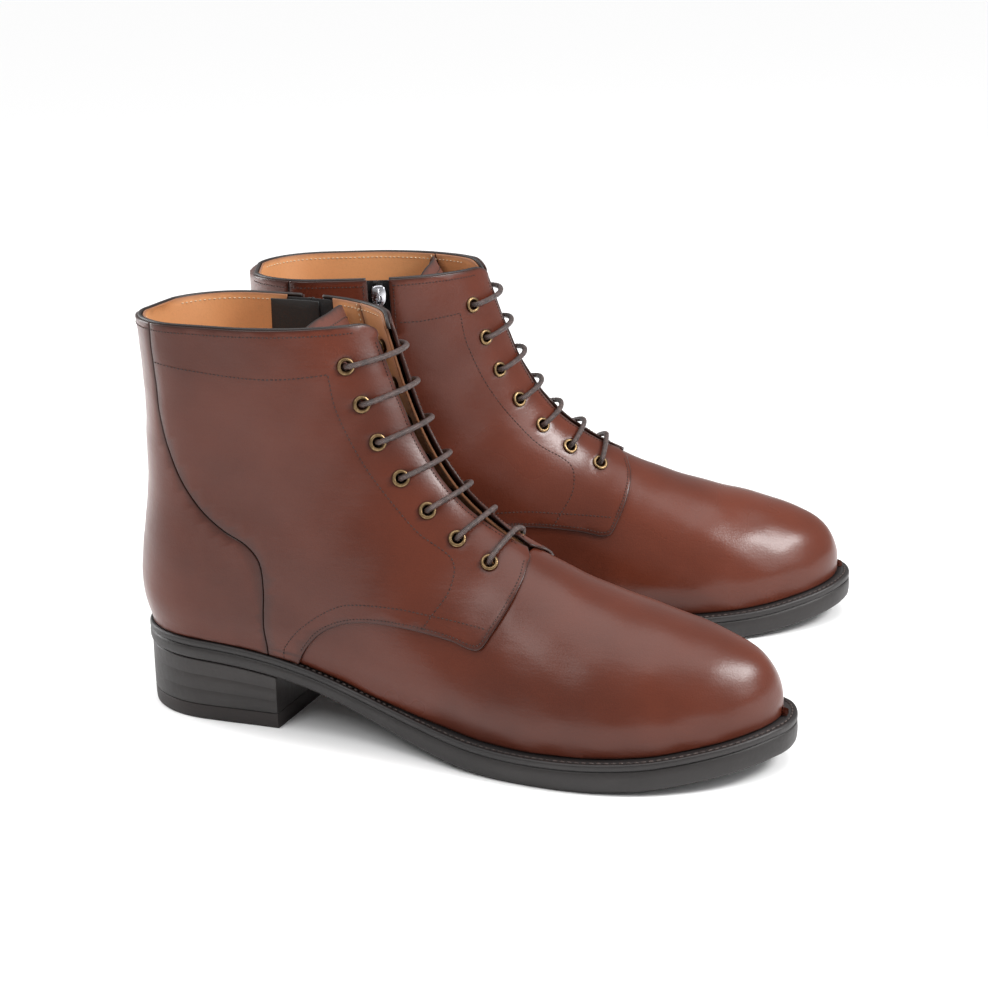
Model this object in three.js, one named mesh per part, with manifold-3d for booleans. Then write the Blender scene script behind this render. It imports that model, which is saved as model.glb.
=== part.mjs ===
// A pair of lace-up derby ankle boots with a zip on the inner side of each ankle.
// Millimetres. +X points to the toes, +Y to the wearer's left, +Z up, soles on Z = 0.
// Each boot is made as a right boot in its own frame: x runs from the heel to the toe,
// negative y is the outer (lateral) side, positive y the inner (medial) side.
// The left boot is its mirror image.
import * as THREE from 'three';
import { mergeVertices } from 'three/addons/utils/BufferGeometryUtils.js';
import Module from 'manifold-3d';

const wasm = await Module();
wasm.setup();

// ---- overall sizes -------------------------------------------------------------------
const UPPER_LENGTH = 300;      // heel curve to toe, along x
const GIRTH = 0.96;            // width of the last against its drawn widths
const SHAFT_HEIGHT = 184;      // top line above the floor
const STANDARD_LENGTH = 300;   // length the side-view curves below are drawn for
const LAST_INSET = 2;          // the last lies this far inside the drawn outline
const CLEARANCE = 0.3;         // gap between stacked layers and neighbouring panels

// ---- thicknesses ---------------------------------------------------------------------
const VAMP_LEATHER = 1.4;
const QUARTER_LEATHER = 1.3;
const LINING_LEATHER = 1.0;
const FACING_LEATHER = 1.3;
const STAY_TAPE = 0.6;
const TONGUE_LEATHER = 1.6;
const WELT_THICKNESS = 3;
const OUTSOLE_FOREFOOT = 9.5;
const OUTSOLE_HEEL = 6;
const TOP_PIECE_THICKNESS = 7;
const INSOLE_THICKNESS = 2.5;
const SOCK_THICKNESS = 1;
const INSOLE_GAP = 2.7;        // insole inside the lining all round

// ---- sole edges ----------------------------------------------------------------------
const WELT_REACH_FORE = 5.5;   // welt beyond the upper round the forefoot
const WELT_REACH_HEEL = 2.5;    // welt beyond the upper round the heel
const WELT_INSIDE = 8;         // welt inner edge, inward of the upper
const HEEL_INSET = 0.8;        // heel block inside the sole edge
const BREAST_X = 78;           // front face of the heel
const SHANK_WIDTH = 14;
const SHANK_THICKNESS = 1.2;
const SHANK_DROP = 4;          // the shank's flat seat below the welt's underside, per unit of room

// ---- lacing --------------------------------------------------------------------------
const EYELET_BORE = 2.1;       // inside radius of the eyelet
const EYELET_WALL = 0.5;
const FLANGE_WIDTH = 1.2;      // visible ring, beyond the barrel
const FLANGE_THICKNESS = 0.7;
const LACE_RADIUS = 1.15;
const LACE_TAIL = 14;          // loose end hidden behind the facing

// ---- zip -----------------------------------------------------------------------------
const ZIP_TOP_X = 70;          // zip centre line at the top line
const ZIP_BOTTOM_X = 75;       // and at its bottom stop
const ZIP_BOTTOM_Z = 60;
const ZIP_SLOT = 5;            // half width of the opening in the leather
const TAPE_HALF = 12;          // half width of the zip tape
const TEETH_HALF = 2.2;        // half width of the closed chain of teeth
const TEETH_HEIGHT = 1.4;
const GUARD_HALF = 15;
const SLIDER_LENGTH = 10;
const SLIDER_HALF = 3.6;
const SLIDER_THICKNESS = 1.8;
const CHAIN_DIP = 0.7;         // chain's flat face inside the curve of the last, at the slider
const PULL_LENGTH = 18;
const PULL_HALF = 2.2;
const PULL_THICKNESS = 1;
const PULL_HEAD = 0.8;         // pull beyond its pin
const PULL_KNUCKLE = 0.7;      // pull's round head outside its pin
const PIN_LIFT = 1.4;          // pull's hinge pin above the slider's face
const PIN_RADIUS = 0.5;
const PIN_END = 0.2;           // pin beyond each side of the pull
const PIN_SEGMENTS = 6;
const LUG_WIDTH = 1.6;
const LUG_LENGTH = 2.2;
const LUG_TOP = 0.8;           // lug above the pin
const FORK_REACH = 3;          // how much longer than the lug the pull's fork is
const SLIDER_TOP_Z = SHAFT_HEIGHT - 8;
const SLIDER_LOW_Z = ZIP_BOTTOM_Z + 16;
const ZIP_FOOT = 8;            // tape below the bottom stop
const REAR_FOOT = 5;           // rear half of the inner quarter starts this far above the stop
const TAPE_THINNER = 0.2;      // tape thinner than the lining beside it
const ZIP_SET_DOWN = 1;        // tape's end below the top line
const GUARD_SET_DOWN = 2;

// ---- details of facings, eyelets and tongue ------------------------------------------
const FACING_SETBACK = 0.6;    // facing edge behind the quarter's edge
const TAPE_SETBACK = 3;
const FLANGE_SEAT = 0.15;
const ROLLED_SEAT = 1.4;        // room for the facing's curve under the rolled end
const ROLLED_THICKNESS = 0.5;
const ROLLED_LIP = 0.3;         // rolled end beyond the barrel
const EYELET_BARREL = EYELET_BORE + EYELET_WALL;
const EYELET_FLANGE = EYELET_BARREL + FLANGE_WIDTH;
const ROLLED_RADIUS = EYELET_BARREL + ROLLED_LIP;
const HOLE_RADIUS = EYELET_BARREL + CLEARANCE;   // punched through quarter and facing
const EYELET_CHAMFER = 0.2;
const EYELET_SEGMENTS = 6;
const PUNCH_LENGTH = 16;
const LACE_GAP = 0.35;
const LACE_SIDES = 5;
const TONGUE_SEAM = 14;        // tongue sewn this far ahead of the throat
const TONGUE_REACH = 30;       // tongue beside the ridge
const TONGUE_DROP = 6;         // tongue's top below the top line
const FACING_WIDTH = 22;
const SHANK_START = 58;
const SHANK_END = 150;
const PLATE_STATIONS = 14;
const FOOTING_REACH = 4.5;     // least reach that trims the upper's foot
const FRONT_CORNER = 5;        // rounding of the quarters' top front corner, along the top line
const CORNER_DROP = 7;         // and down the facing edge
const FACING_FOOT = 10;        // facings start this far below the throat
const QUARTER_OVERLAP = 2;     // how far the vamp's lining runs in under the quarters

// ---- where the two boots stand -------------------------------------------------------
const PIVOT_X = 150;           // the point of a boot that the placing refers to
const RIGHT_PLACE = { x: -9, y: -74, yaw: -10.8 };
const LEFT_PLACE = { x: 9, y: 74, yaw: 13.1 };

// ---- small helpers -------------------------------------------------------------------
const UP = new THREE.Vector3(0, 1, 0);
const LATERAL = -1;
const MEDIAL = 1;
const stretch = UPPER_LENGTH / STANDARD_LENGTH;
const clamp01 = (t) => Math.min(1, Math.max(0, t));
const smooth = (t) => clamp01(t) ** 2 * (3 - 2 * clamp01(t));
const mix = (a, b, t) => a + (b - a) * t;
const valueOf = (size, at) => (typeof size === 'function' ? size(at) : size);

// A smooth curve through knots [x, y]; it stays level outside them.
function spline(knots) {
  const last = knots.length - 1;
  const slope = (i) => (knots[i + 1][1] - knots[i][1]) / (knots[i + 1][0] - knots[i][0]);
  const width = (i) => knots[i + 1][0] - knots[i][0];
  const tangent = knots.map((_, i) => {
    if (i === 0) return slope(0);
    if (i === last) return slope(last - 1);
    return (slope(i - 1) * width(i - 1) + slope(i) * width(i)) / (width(i - 1) + width(i));
  });
  return (at) => {
    const x = Math.min(knots[last][0], Math.max(knots[0][0], at));
    let i = 0;
    while (i < last - 1 && x > knots[i + 1][0]) i += 1;
    const h = width(i);
    const t = (x - knots[i][0]) / h;
    return (1 + 2 * t) * (1 - t) ** 2 * knots[i][1] + t * (1 - t) ** 2 * h * tangent[i]
      + t * t * (3 - 2 * t) * knots[i + 1][1] + t * t * (t - 1) * h * tangent[i + 1];
  };
}
const alongX = (knots) => spline(knots.map(([x, y]) => [x * stretch, y]));

// ---- the last: curves seen from the side ---------------------------------------------
// Feather line, where the upper meets the welt: height against x.
const featherZ = alongX([[-5, 39.4], [30, 39], [60, 37], [90, 32], [130, 21.5], [170, 14.9],
  [205, 12.9], [250, 14.9], [280, 19], [300, 22.5]]);
// Ridge, from the toe tip over the instep and up the front of the shaft.
const RIDGE = [[300, 22.5], [299.5, 33], [295, 43.5], [285, 52], [266, 59.5], [240, 66.5], [215, 74.5],
  [190, 86], [170, 98], [155, 111.5], [142.5, 130], [133, 151], [126, 172], [117, 200]]
  .map(([x, z]) => [x * stretch, z]);
const ridgeLength = [0];
for (let i = 1; i < RIDGE.length; i += 1) {
  const step = Math.hypot(RIDGE[i][0] - RIDGE[i - 1][0], RIDGE[i][1] - RIDGE[i - 1][1]);
  ridgeLength.push(ridgeLength[i - 1] + step);
}
const ridgeX = spline(RIDGE.map(([x], i) => [ridgeLength[i], x]));
const ridgeZ = spline(RIDGE.map(([, z], i) => [ridgeLength[i], z]));
const LAST_TOP_Z = 200;
const RIDGE_END = ridgeLength[13];
const INSTEP = ridgeLength[7];       // up to here the sections are upright
// Back seam: x against height.
const backX = spline([[20, 4], [38, 3.5], [48, 1.2], [60, 0], [75, 1.2], [95, 5], [115, 7], [128, 7.8],
  [140, 8.6], [158, 9], [172, 8.4], [200, 7]]);

// ---- the last: widths ----------------------------------------------------------------
const soleWidth = {
  [LATERAL]: alongX([[0, 31], [40, 32.5], [80, 31.5], [115, 33], [150, 39.5], [185, 47.5], [215, 50],
    [245, 48.5], [275, 45], [300, 42]]),
  [MEDIAL]: alongX([[0, 31], [40, 31.5], [80, 29.5], [115, 28.5], [150, 33.5], [185, 42.5], [215, 46.5],
    [245, 46], [275, 43], [300, 41]]),
};
const shaftWidth = spline([[20, 34], [60, 35], [85, 34.5], [105, 34], [130, 35.5], [150, 37.5], [172, 39.5],
  [200, 42]]);
const centreY = alongX([[0, 0], [200, 0], [250, 1], [280, 3], [300, 5]]);
const capReach = spline([[0, 62], [ridgeLength[5], 64], [ridgeLength[7], 64], [ridgeLength[9], 60],
  [ridgeLength[11], 54], [RIDGE_END, 52]]);
const ridgeFullness = spline([[0, 2.25], [ridgeLength[7], 2.2], [ridgeLength[10], 1.8], [RIDGE_END, 1.75]]);
const TOE_START = 222;
const TOE_POWER = 2.3;
const HEEL_ROUND = 38;
const HEEL_POWER = 2.3;
const BULGE = 2.5;                   // the upper swells this much above the feather line
const BULGE_HEIGHT = 16;
const SIDE_WALL = 8;                 // sole widths hold up to here, shaft widths from
const SHAFT_RISE = 62;               // this much higher, fading out ahead of the instep
const SHAFT_FRONT = 240;
const SHAFT_FADE = 90;
const CAP_POWER = 6;                 // blends the ridge's rounding with short sections
const rounding = (t, power) => Math.sqrt(Math.max(0, 1 - (1 - clamp01(t)) ** power));
const toeRound = (x) => {
  const t = clamp01((x - TOE_START * stretch) / (UPPER_LENGTH - TOE_START * stretch));
  return Math.sqrt(Math.max(0, 1 - t ** TOE_POWER));
};

// ---- sections of the last ------------------------------------------------------------
// Each section line starts on the ridge at length s and ends on the feather line (q < 1)
// or on the back seam (q from 1 to 2).
const HEEL_SEAT_X = backX(40);
const FEATHER_TUCK = 3;              // the last runs on this far below the feather line
const backQ = spline([[INSTEP, (UPPER_LENGTH - RIDGE[7][0]) / (UPPER_LENGTH - HEEL_SEAT_X)],
  [ridgeLength[8], 0.68], [ridgeLength[9], 0.98], [ridgeLength[10], 1.25], [ridgeLength[11], 1.45],
  [ridgeLength[12], 1.72], [RIDGE_END, 2]]);
const endQ = (s) => (s <= INSTEP ? (UPPER_LENGTH - ridgeX(s)) / (UPPER_LENGTH - HEEL_SEAT_X) : backQ(s));
function sectionEnd(q) {
  if (q < 1) {
    const x = mix(UPPER_LENGTH, HEEL_SEAT_X, q);
    return [x, featherZ(x) - FEATHER_TUCK];
  }
  const z = mix(featherZ(HEEL_SEAT_X) - FEATHER_TUCK, LAST_TOP_Z, q - 1);
  return [backX(z), z];
}
function halfWidth(side, s, x, z, start, end) {
  const span = Math.hypot(end[0] - start[0], end[1] - start[1]);
  const reach = (span ** -CAP_POWER + capReach(s) ** -CAP_POWER) ** (-1 / CAP_POWER);
  const cap = rounding(Math.hypot(x - start[0], z - start[1]) / reach, ridgeFullness(s));
  const back = rounding((x - backX(z)) / HEEL_ROUND, HEEL_POWER);
  const above = z - featherZ(x);
  const sole = (soleWidth[side](x) + BULGE * smooth(above / BULGE_HEIGHT)) * toeRound(x);
  const blend = smooth((above - SIDE_WALL) / SHAFT_RISE) * smooth((SHAFT_FRONT * stretch - x) / SHAFT_FADE);
  return GIRTH * mix(sole, shaftWidth(z), blend) * cap * back;
}
// A point of the last: section s, angle 0 at the ridge to PI at the section's end.
function lastPoint(side, s, angle) {
  const start = [ridgeX(s), ridgeZ(s)];
  const end = sectionEnd(endQ(s));
  const c = (1 - Math.cos(angle)) / 2;
  const x = mix(start[0], end[0], c);
  const z = mix(start[1], end[1], c);
  return new THREE.Vector3(x, centreY(x) + side * halfWidth(side, s, x, z, start, end), z);
}
function lastNormal(side, s, angle) {
  const step = 0.02;
  const along = lastPoint(side, s + 1, angle).sub(lastPoint(side, s - 1, angle));
  const across = lastPoint(side, s, angle + step).sub(lastPoint(side, s, angle - step));
  return across.cross(along).multiplyScalar(side).normalize();
}
// The section and angle of the point of the last seen at (x, z) from the side.
function locate(x, z) {
  let low = INSTEP;
  let high = RIDGE_END;
  for (let i = 0; i < 40; i += 1) {
    const s = (low + high) / 2;
    const start = [ridgeX(s), ridgeZ(s)];
    const end = sectionEnd(endQ(s));
    const turn = (end[0] - start[0]) * (z - start[1]) - (end[1] - start[1]) * (x - start[0]);
    if (turn < 0) low = s;
    else high = s;
  }
  const start = [ridgeX(low), ridgeZ(low)];
  const end = sectionEnd(endQ(low));
  const c = Math.hypot(x - start[0], z - start[1]) / Math.hypot(end[0] - start[0], end[1] - start[1]);
  return { s: low, angle: Math.acos(1 - 2 * clamp01(c)) };
}
// The same point on the last's own surface, which lies inside the drawn outline.
function seatPoint(side, at) {
  return lastPoint(side, at.s, at.angle).addScaledVector(lastNormal(side, at.s, at.angle), -LAST_INSET);
}
function onLast(side, x, z, offset) {
  const at = locate(x, z);
  return seatPoint(side, at).addScaledVector(lastNormal(side, at.s, at.angle), offset);
}

// ---- solids --------------------------------------------------------------------------
function toSolid(geometry) {
  geometry.deleteAttribute('normal');
  geometry.deleteAttribute('uv');
  const merged = mergeVertices(geometry, 1e-4);
  const index = [];
  for (let i = 0; i < merged.index.count; i += 3) {
    const [a, b, c] = [0, 1, 2].map((k) => merged.index.getX(i + k));
    if (a !== b && b !== c && c !== a) index.push(a, b, c);
  }
  return new wasm.Manifold(new wasm.Mesh({
    numProp: 3,
    vertProperties: new Float32Array(merged.attributes.position.array),
    triVerts: new Uint32Array(index),
  }));
}
function surfaceGeometry(points, triangles) {
  const geometry = new THREE.BufferGeometry();
  const positions = points.flatMap((p) => [p.x, p.y, p.z]);
  geometry.setAttribute('position', new THREE.Float32BufferAttribute(positions, 3));
  geometry.setIndex(triangles);
  return geometry;
}

// Stations along the ridge: close together round the toe, wider over the vamp.
function stationAt(q) {
  let low = INSTEP;
  let high = RIDGE_END;
  for (let i = 0; i < 40; i += 1) {
    const s = (low + high) / 2;
    if (endQ(s) < q) low = s;
    else high = s;
  }
  return low;
}
const TOE_STATIONS = [0, 5, 14, 27];
const VAMP_STEPS = 4;
const INSTEP_ENDS = [0.55, 0.75, 0.89, 0.97, 1];   // where their sections end
const SHAFT_STEPS = 5;
const stations = [...TOE_STATIONS];
for (let i = 1; i <= VAMP_STEPS; i += 1) stations.push(mix(TOE_STATIONS.at(-1), INSTEP, i / VAMP_STEPS));
stations.push(...INSTEP_ENDS.map(stationAt));
const firstSeamRow = stations.length - 1;
for (let i = 1; i <= SHAFT_STEPS; i += 1) stations.push(stationAt(1 + i / SHAFT_STEPS));
// Columns from the ridge to the section's end, as shares of half a turn.
const COLUMN_SHARES = [0, 0.12, 0.28, 0.5, 0.72, 0.88, 1];
const HALF_COLUMNS = COLUMN_SHARES.length - 1;
const columns = 2 * HALF_COLUMNS + 1;
const lastGrid = stations.map((s) => Array.from({ length: columns }, (_, j) => {
  const share = COLUMN_SHARES[Math.abs(j - HALF_COLUMNS)];
  return lastPoint(j < HALF_COLUMNS ? LATERAL : MEDIAL, s, share * Math.PI);
}));
const gridTriangles = [];
for (let i = 0; i < stations.length - 1; i += 1) {
  for (let j = 0; j < columns - 1; j += 1) {
    const a = i * columns + j;
    gridTriangles.push(a, a + 1, a + columns, a + 1, a + columns + 1, a + columns);
  }
}
// Outward directions at the grid points, averaged where grid points coincide.
const gridNormals = (() => {
  const points = lastGrid.flat();
  const key = (p) => p.toArray().map((v) => Math.round(v * 1000)).join(' ');
  const sums = new Map(points.map((p) => [key(p), new THREE.Vector3()]));
  for (let i = 0; i < gridTriangles.length; i += 3) {
    const [a, b, c] = [0, 1, 2].map((k) => points[gridTriangles[i + k]]);
    const area = b.clone().sub(a).cross(c.clone().sub(a));
    [a, b, c].forEach((p) => sums.get(key(p)).add(area));
  }
  return points.map((p) => sums.get(key(p)).clone().normalize());
})();

// A shell between two offsets from the last. An offset is a number or a function of s.
function skin(inner, outer) {
  const points = [];
  for (const offset of [outer, inner]) {
    lastGrid.forEach((row, i) => {
      const amount = valueOf(offset, stations[i]) - LAST_INSET;
      const pushed = row.map((p, j) => p.clone().addScaledVector(gridNormals[i * columns + j], amount));
      if (i === 0) pushed.forEach((p, j) => p.copy(pushed[Math.min(j, columns - 1 - j)]));
      if (i >= firstSeamRow) pushed[columns - 1].copy(pushed[0]);
      points.push(...pushed);
    });
  }
  const inside = stations.length * columns;
  const triangles = [...gridTriangles];
  for (let i = 0; i < gridTriangles.length; i += 3) {
    triangles.push(...[0, 2, 1].map((k) => gridTriangles[i + k] + inside));
  }
  const wall = (from, to) => triangles.push(from, to, to + inside, from, to + inside, from + inside);
  for (let i = 0; i < firstSeamRow; i += 1) {
    wall(i * columns, (i + 1) * columns);
    wall((i + 2) * columns - 1, (i + 1) * columns - 1);
  }
  for (let j = 0; j < columns - 1; j += 1) {
    wall((stations.length - 1) * columns + j, (stations.length - 1) * columns + j + 1);
  }
  return toSolid(surfaceGeometry(points, triangles));
}

// A cutter drawn as an outline of [x, z] points seen from the side.
const CUTTER_REACH = 150;
function sideCutter(outline, side) {
  const shape = new THREE.Shape(outline.map(([x, z]) => new THREE.Vector2(x, z)));
  const depth = side ? CUTTER_REACH : 2 * CUTTER_REACH;
  const geometry = new THREE.ExtrudeGeometry(shape, { depth, bevelEnabled: false });
  geometry.rotateX(Math.PI / 2);
  if (side !== LATERAL) geometry.translate(0, CUTTER_REACH, 0);
  return toSolid(geometry);
}
const scaled = (points) => points.map(([x, z]) => [x * stretch, z]);
const FEATHER_STEP = 18;
function featherRun(from, to) {
  const count = Math.max(2, Math.round(Math.abs(to - from) / FEATHER_STEP));
  return Array.from({ length: count + 1 }, (_, i) => {
    const x = mix(from, to, i / count) * stretch;
    return [x, featherZ(x)];
  });
}
// Points pushed off their line, to the left of the direction of travel.
function beside(points, distance) {
  return points.map((p, i) => {
    const before = points[Math.max(0, i - 1)];
    const after = points[Math.min(points.length - 1, i + 1)];
    const way = [after[0] - before[0], after[1] - before[1]];
    const share = distance / Math.hypot(...way);
    return [p[0] - way[1] * share, p[1] + way[0] * share];
  });
}

// ---- the seams of the upper, seen from the side --------------------------------------
const FAR = 40;                      // how far cutters reach past the boot
// Seam between the back panel and the quarters, from the sole up.
const backSeam = {
  [LATERAL]: scaled([[74.5, 30], [74, 50], [75, 65.5], [73.7, 78.6], [68, 86], [56.5, 92], [44.8, 101.8],
    [36.7, 114.1], [30.6, 130.2], [28.2, 151], [28.2, 215]]),
  [MEDIAL]: scaled([[66, 30], [65.5, 50], [65.5, 65], [64, 76], [60, 84], [53, 92], [44, 102],
    [36.7, 114.1], [30.6, 130.2], [28.2, 151], [28.2, 215]]),
};
// Front and lower edge of the quarters, from the sole to the ridge.
const quarterFront = scaled([[87.5, 28], [92.9, 38.5], [102.3, 49], [114, 55], [126, 57.4], [143.5, 57.2],
  [165, 54.6], [179, 52.5], [184.5, 60], [189.5, 70], [192, 79], [190, 87], [188, 100]]);
// Rear edge of the vamp, which lies under the quarters.
const vampRear = scaled([[78, 28], [84, 46], [96, 58], [112, 64.5], [140, 66.5], [162, 63], [176, 66],
  [184, 75], [188, 86], [190, 100]]);
const zipShare = (z) => (z - ZIP_BOTTOM_Z) / (SHAFT_HEIGHT - ZIP_BOTTOM_Z);
const zipX = (z) => mix(ZIP_BOTTOM_X, ZIP_TOP_X, zipShare(z)) * stretch;
const frontTopX = (z) => {
  let s = RIDGE_END;
  while (ridgeZ(s) > z) s -= 0.5;
  return ridgeX(s);
};
// The facing edges stand this far either side of the middle, by height.
const THROAT_Z = 85;
const throatHalf = spline([[THROAT_Z, 0.8], [92, 3.2], [104, 5.4], [125, 6.4], [150, 7],
  [SHAFT_HEIGHT, 8.5]]);
function throatCutter(extra) {
  const heights = Array.from({ length: 9 }, (_, i) => mix(THROAT_Z, SHAFT_HEIGHT + FAR, i / 8));
  const right = heights.map((z) => [throatHalf(z) + extra, z]);
  const left = heights.map((z) => [-throatHalf(z) - extra, z]).reverse();
  const shape = new THREE.Shape([...right, ...left].map(([y, z]) => new THREE.Vector2(y, z)));
  const depth = CUTTER_REACH;
  const geometry = new THREE.ExtrudeGeometry(shape, { depth, bevelEnabled: false });
  geometry.rotateX(Math.PI / 2);
  geometry.rotateZ(Math.PI / 2);
  geometry.translate(95 * stretch, 0, 0);
  return toSolid(geometry);
}

const FAR_FRONT = (STANDARD_LENGTH + FAR) * stretch;
const ABOVE_VAMP = 140;
// Eyelet centres seen from the side, from the lowest to the highest.
const eyeletsAt = scaled([[176.5, 84.5], [161.5, 93.5], [148, 105], [136.5, 118.8], [127, 134.5],
  [120.5, 151], [114.5, 167.5]]);
// Points at a set distance down the section lines, from section s to the top.
function sectionRun(from, distance) {
  return Array.from({ length: 7 }, (_, i) => {
    const s = mix(from, RIDGE_END, i / 6);
    const end = sectionEnd(endQ(s));
    const part = distance / Math.hypot(end[0] - ridgeX(s), end[1] - ridgeZ(s));
    return [mix(ridgeX(s), end[0], part), mix(ridgeZ(s), end[1], part)];
  });
}

// ---- layers, as offsets from the last ------------------------------------------------
const VAMP_OUT = VAMP_LEATHER;
const QUARTER_IN = VAMP_OUT + CLEARANCE;
const QUARTER_OUT = QUARTER_IN + QUARTER_LEATHER;
const LINING_OUT = -CLEARANCE;
const LINING_IN = LINING_OUT - LINING_LEATHER;
const FACING_OUT = 0;
const FACING_IN = FACING_OUT - FACING_LEATHER;
const TAPE_IN = FACING_OUT + CLEARANCE;
const TAPE_OUT = TAPE_IN + STAY_TAPE;
const TONGUE_ROOT = LINING_IN - CLEARANCE;
const LACE_ROOM = 2 * LACE_RADIUS + 3.3;
const TONGUE_LEAN = 4;               // how far the tongue's top leans back
const tongueOut = (s) => TONGUE_ROOT - LACE_ROOM * smooth((s - ridgeLength[7] + 6) / 16)
  - TONGUE_LEAN * smooth((s - ridgeLength[10]) / (RIDGE_END - ridgeLength[10]));
const tongueIn = (s) => tongueOut(s) - TONGUE_LEATHER;

// The rounded corner where the facing edge meets the top line.
const cornerRun = [[frontTopX(SHAFT_HEIGHT - CORNER_DROP) + FAR, SHAFT_HEIGHT - CORNER_DROP],
  [frontTopX(SHAFT_HEIGHT - CORNER_DROP) + 1, SHAFT_HEIGHT - CORNER_DROP],
  [frontTopX(SHAFT_HEIGHT) - FRONT_CORNER / 10, SHAFT_HEIGHT - CORNER_DROP / 3],
  [frontTopX(SHAFT_HEIGHT) - FRONT_CORNER, SHAFT_HEIGHT]];

// Everything ahead of a line that runs up from the sole.
const ahead = (line) => [[line[0][0], -FAR], ...line, [line.at(-1)[0], ABOVE_VAMP],
  [FAR_FRONT, ABOVE_VAMP], [FAR_FRONT, -FAR]];
// A strip along the zip's centre line, between two offsets from it.
const zipStrip = (from, to, bottom, top) => sideCutter([[zipX(bottom) + from, bottom],
  [zipX(bottom) + to, bottom], [zipX(top) + to, top], [zipX(top) + from, top]], MEDIAL);
// Everything behind the zip's centre line, above a given height.
const behindZip = (foot) => sideCutter([[-FAR, foot], [zipX(foot), foot],
  [zipX(SHAFT_HEIGHT + FAR), SHAFT_HEIGHT + FAR], [-FAR, SHAFT_HEIGHT + FAR]], MEDIAL);
// Everything ahead of the zip's centre line on the inner side.
const frontOfZip = (push) => sideCutter([[zipX(0) + push, 0], [FAR_FRONT, 0],
  [FAR_FRONT, SHAFT_HEIGHT + FAR], [zipX(SHAFT_HEIGHT + FAR) + push, SHAFT_HEIGHT + FAR]], MEDIAL);
const bothSides = (outlineOf) => (
  sideCutter(outlineOf(LATERAL), LATERAL).add(sideCutter(outlineOf(MEDIAL), MEDIAL)));
const cutFrom = (shell, outline, side) => shell.intersect(sideCutter(outline, side));

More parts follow.
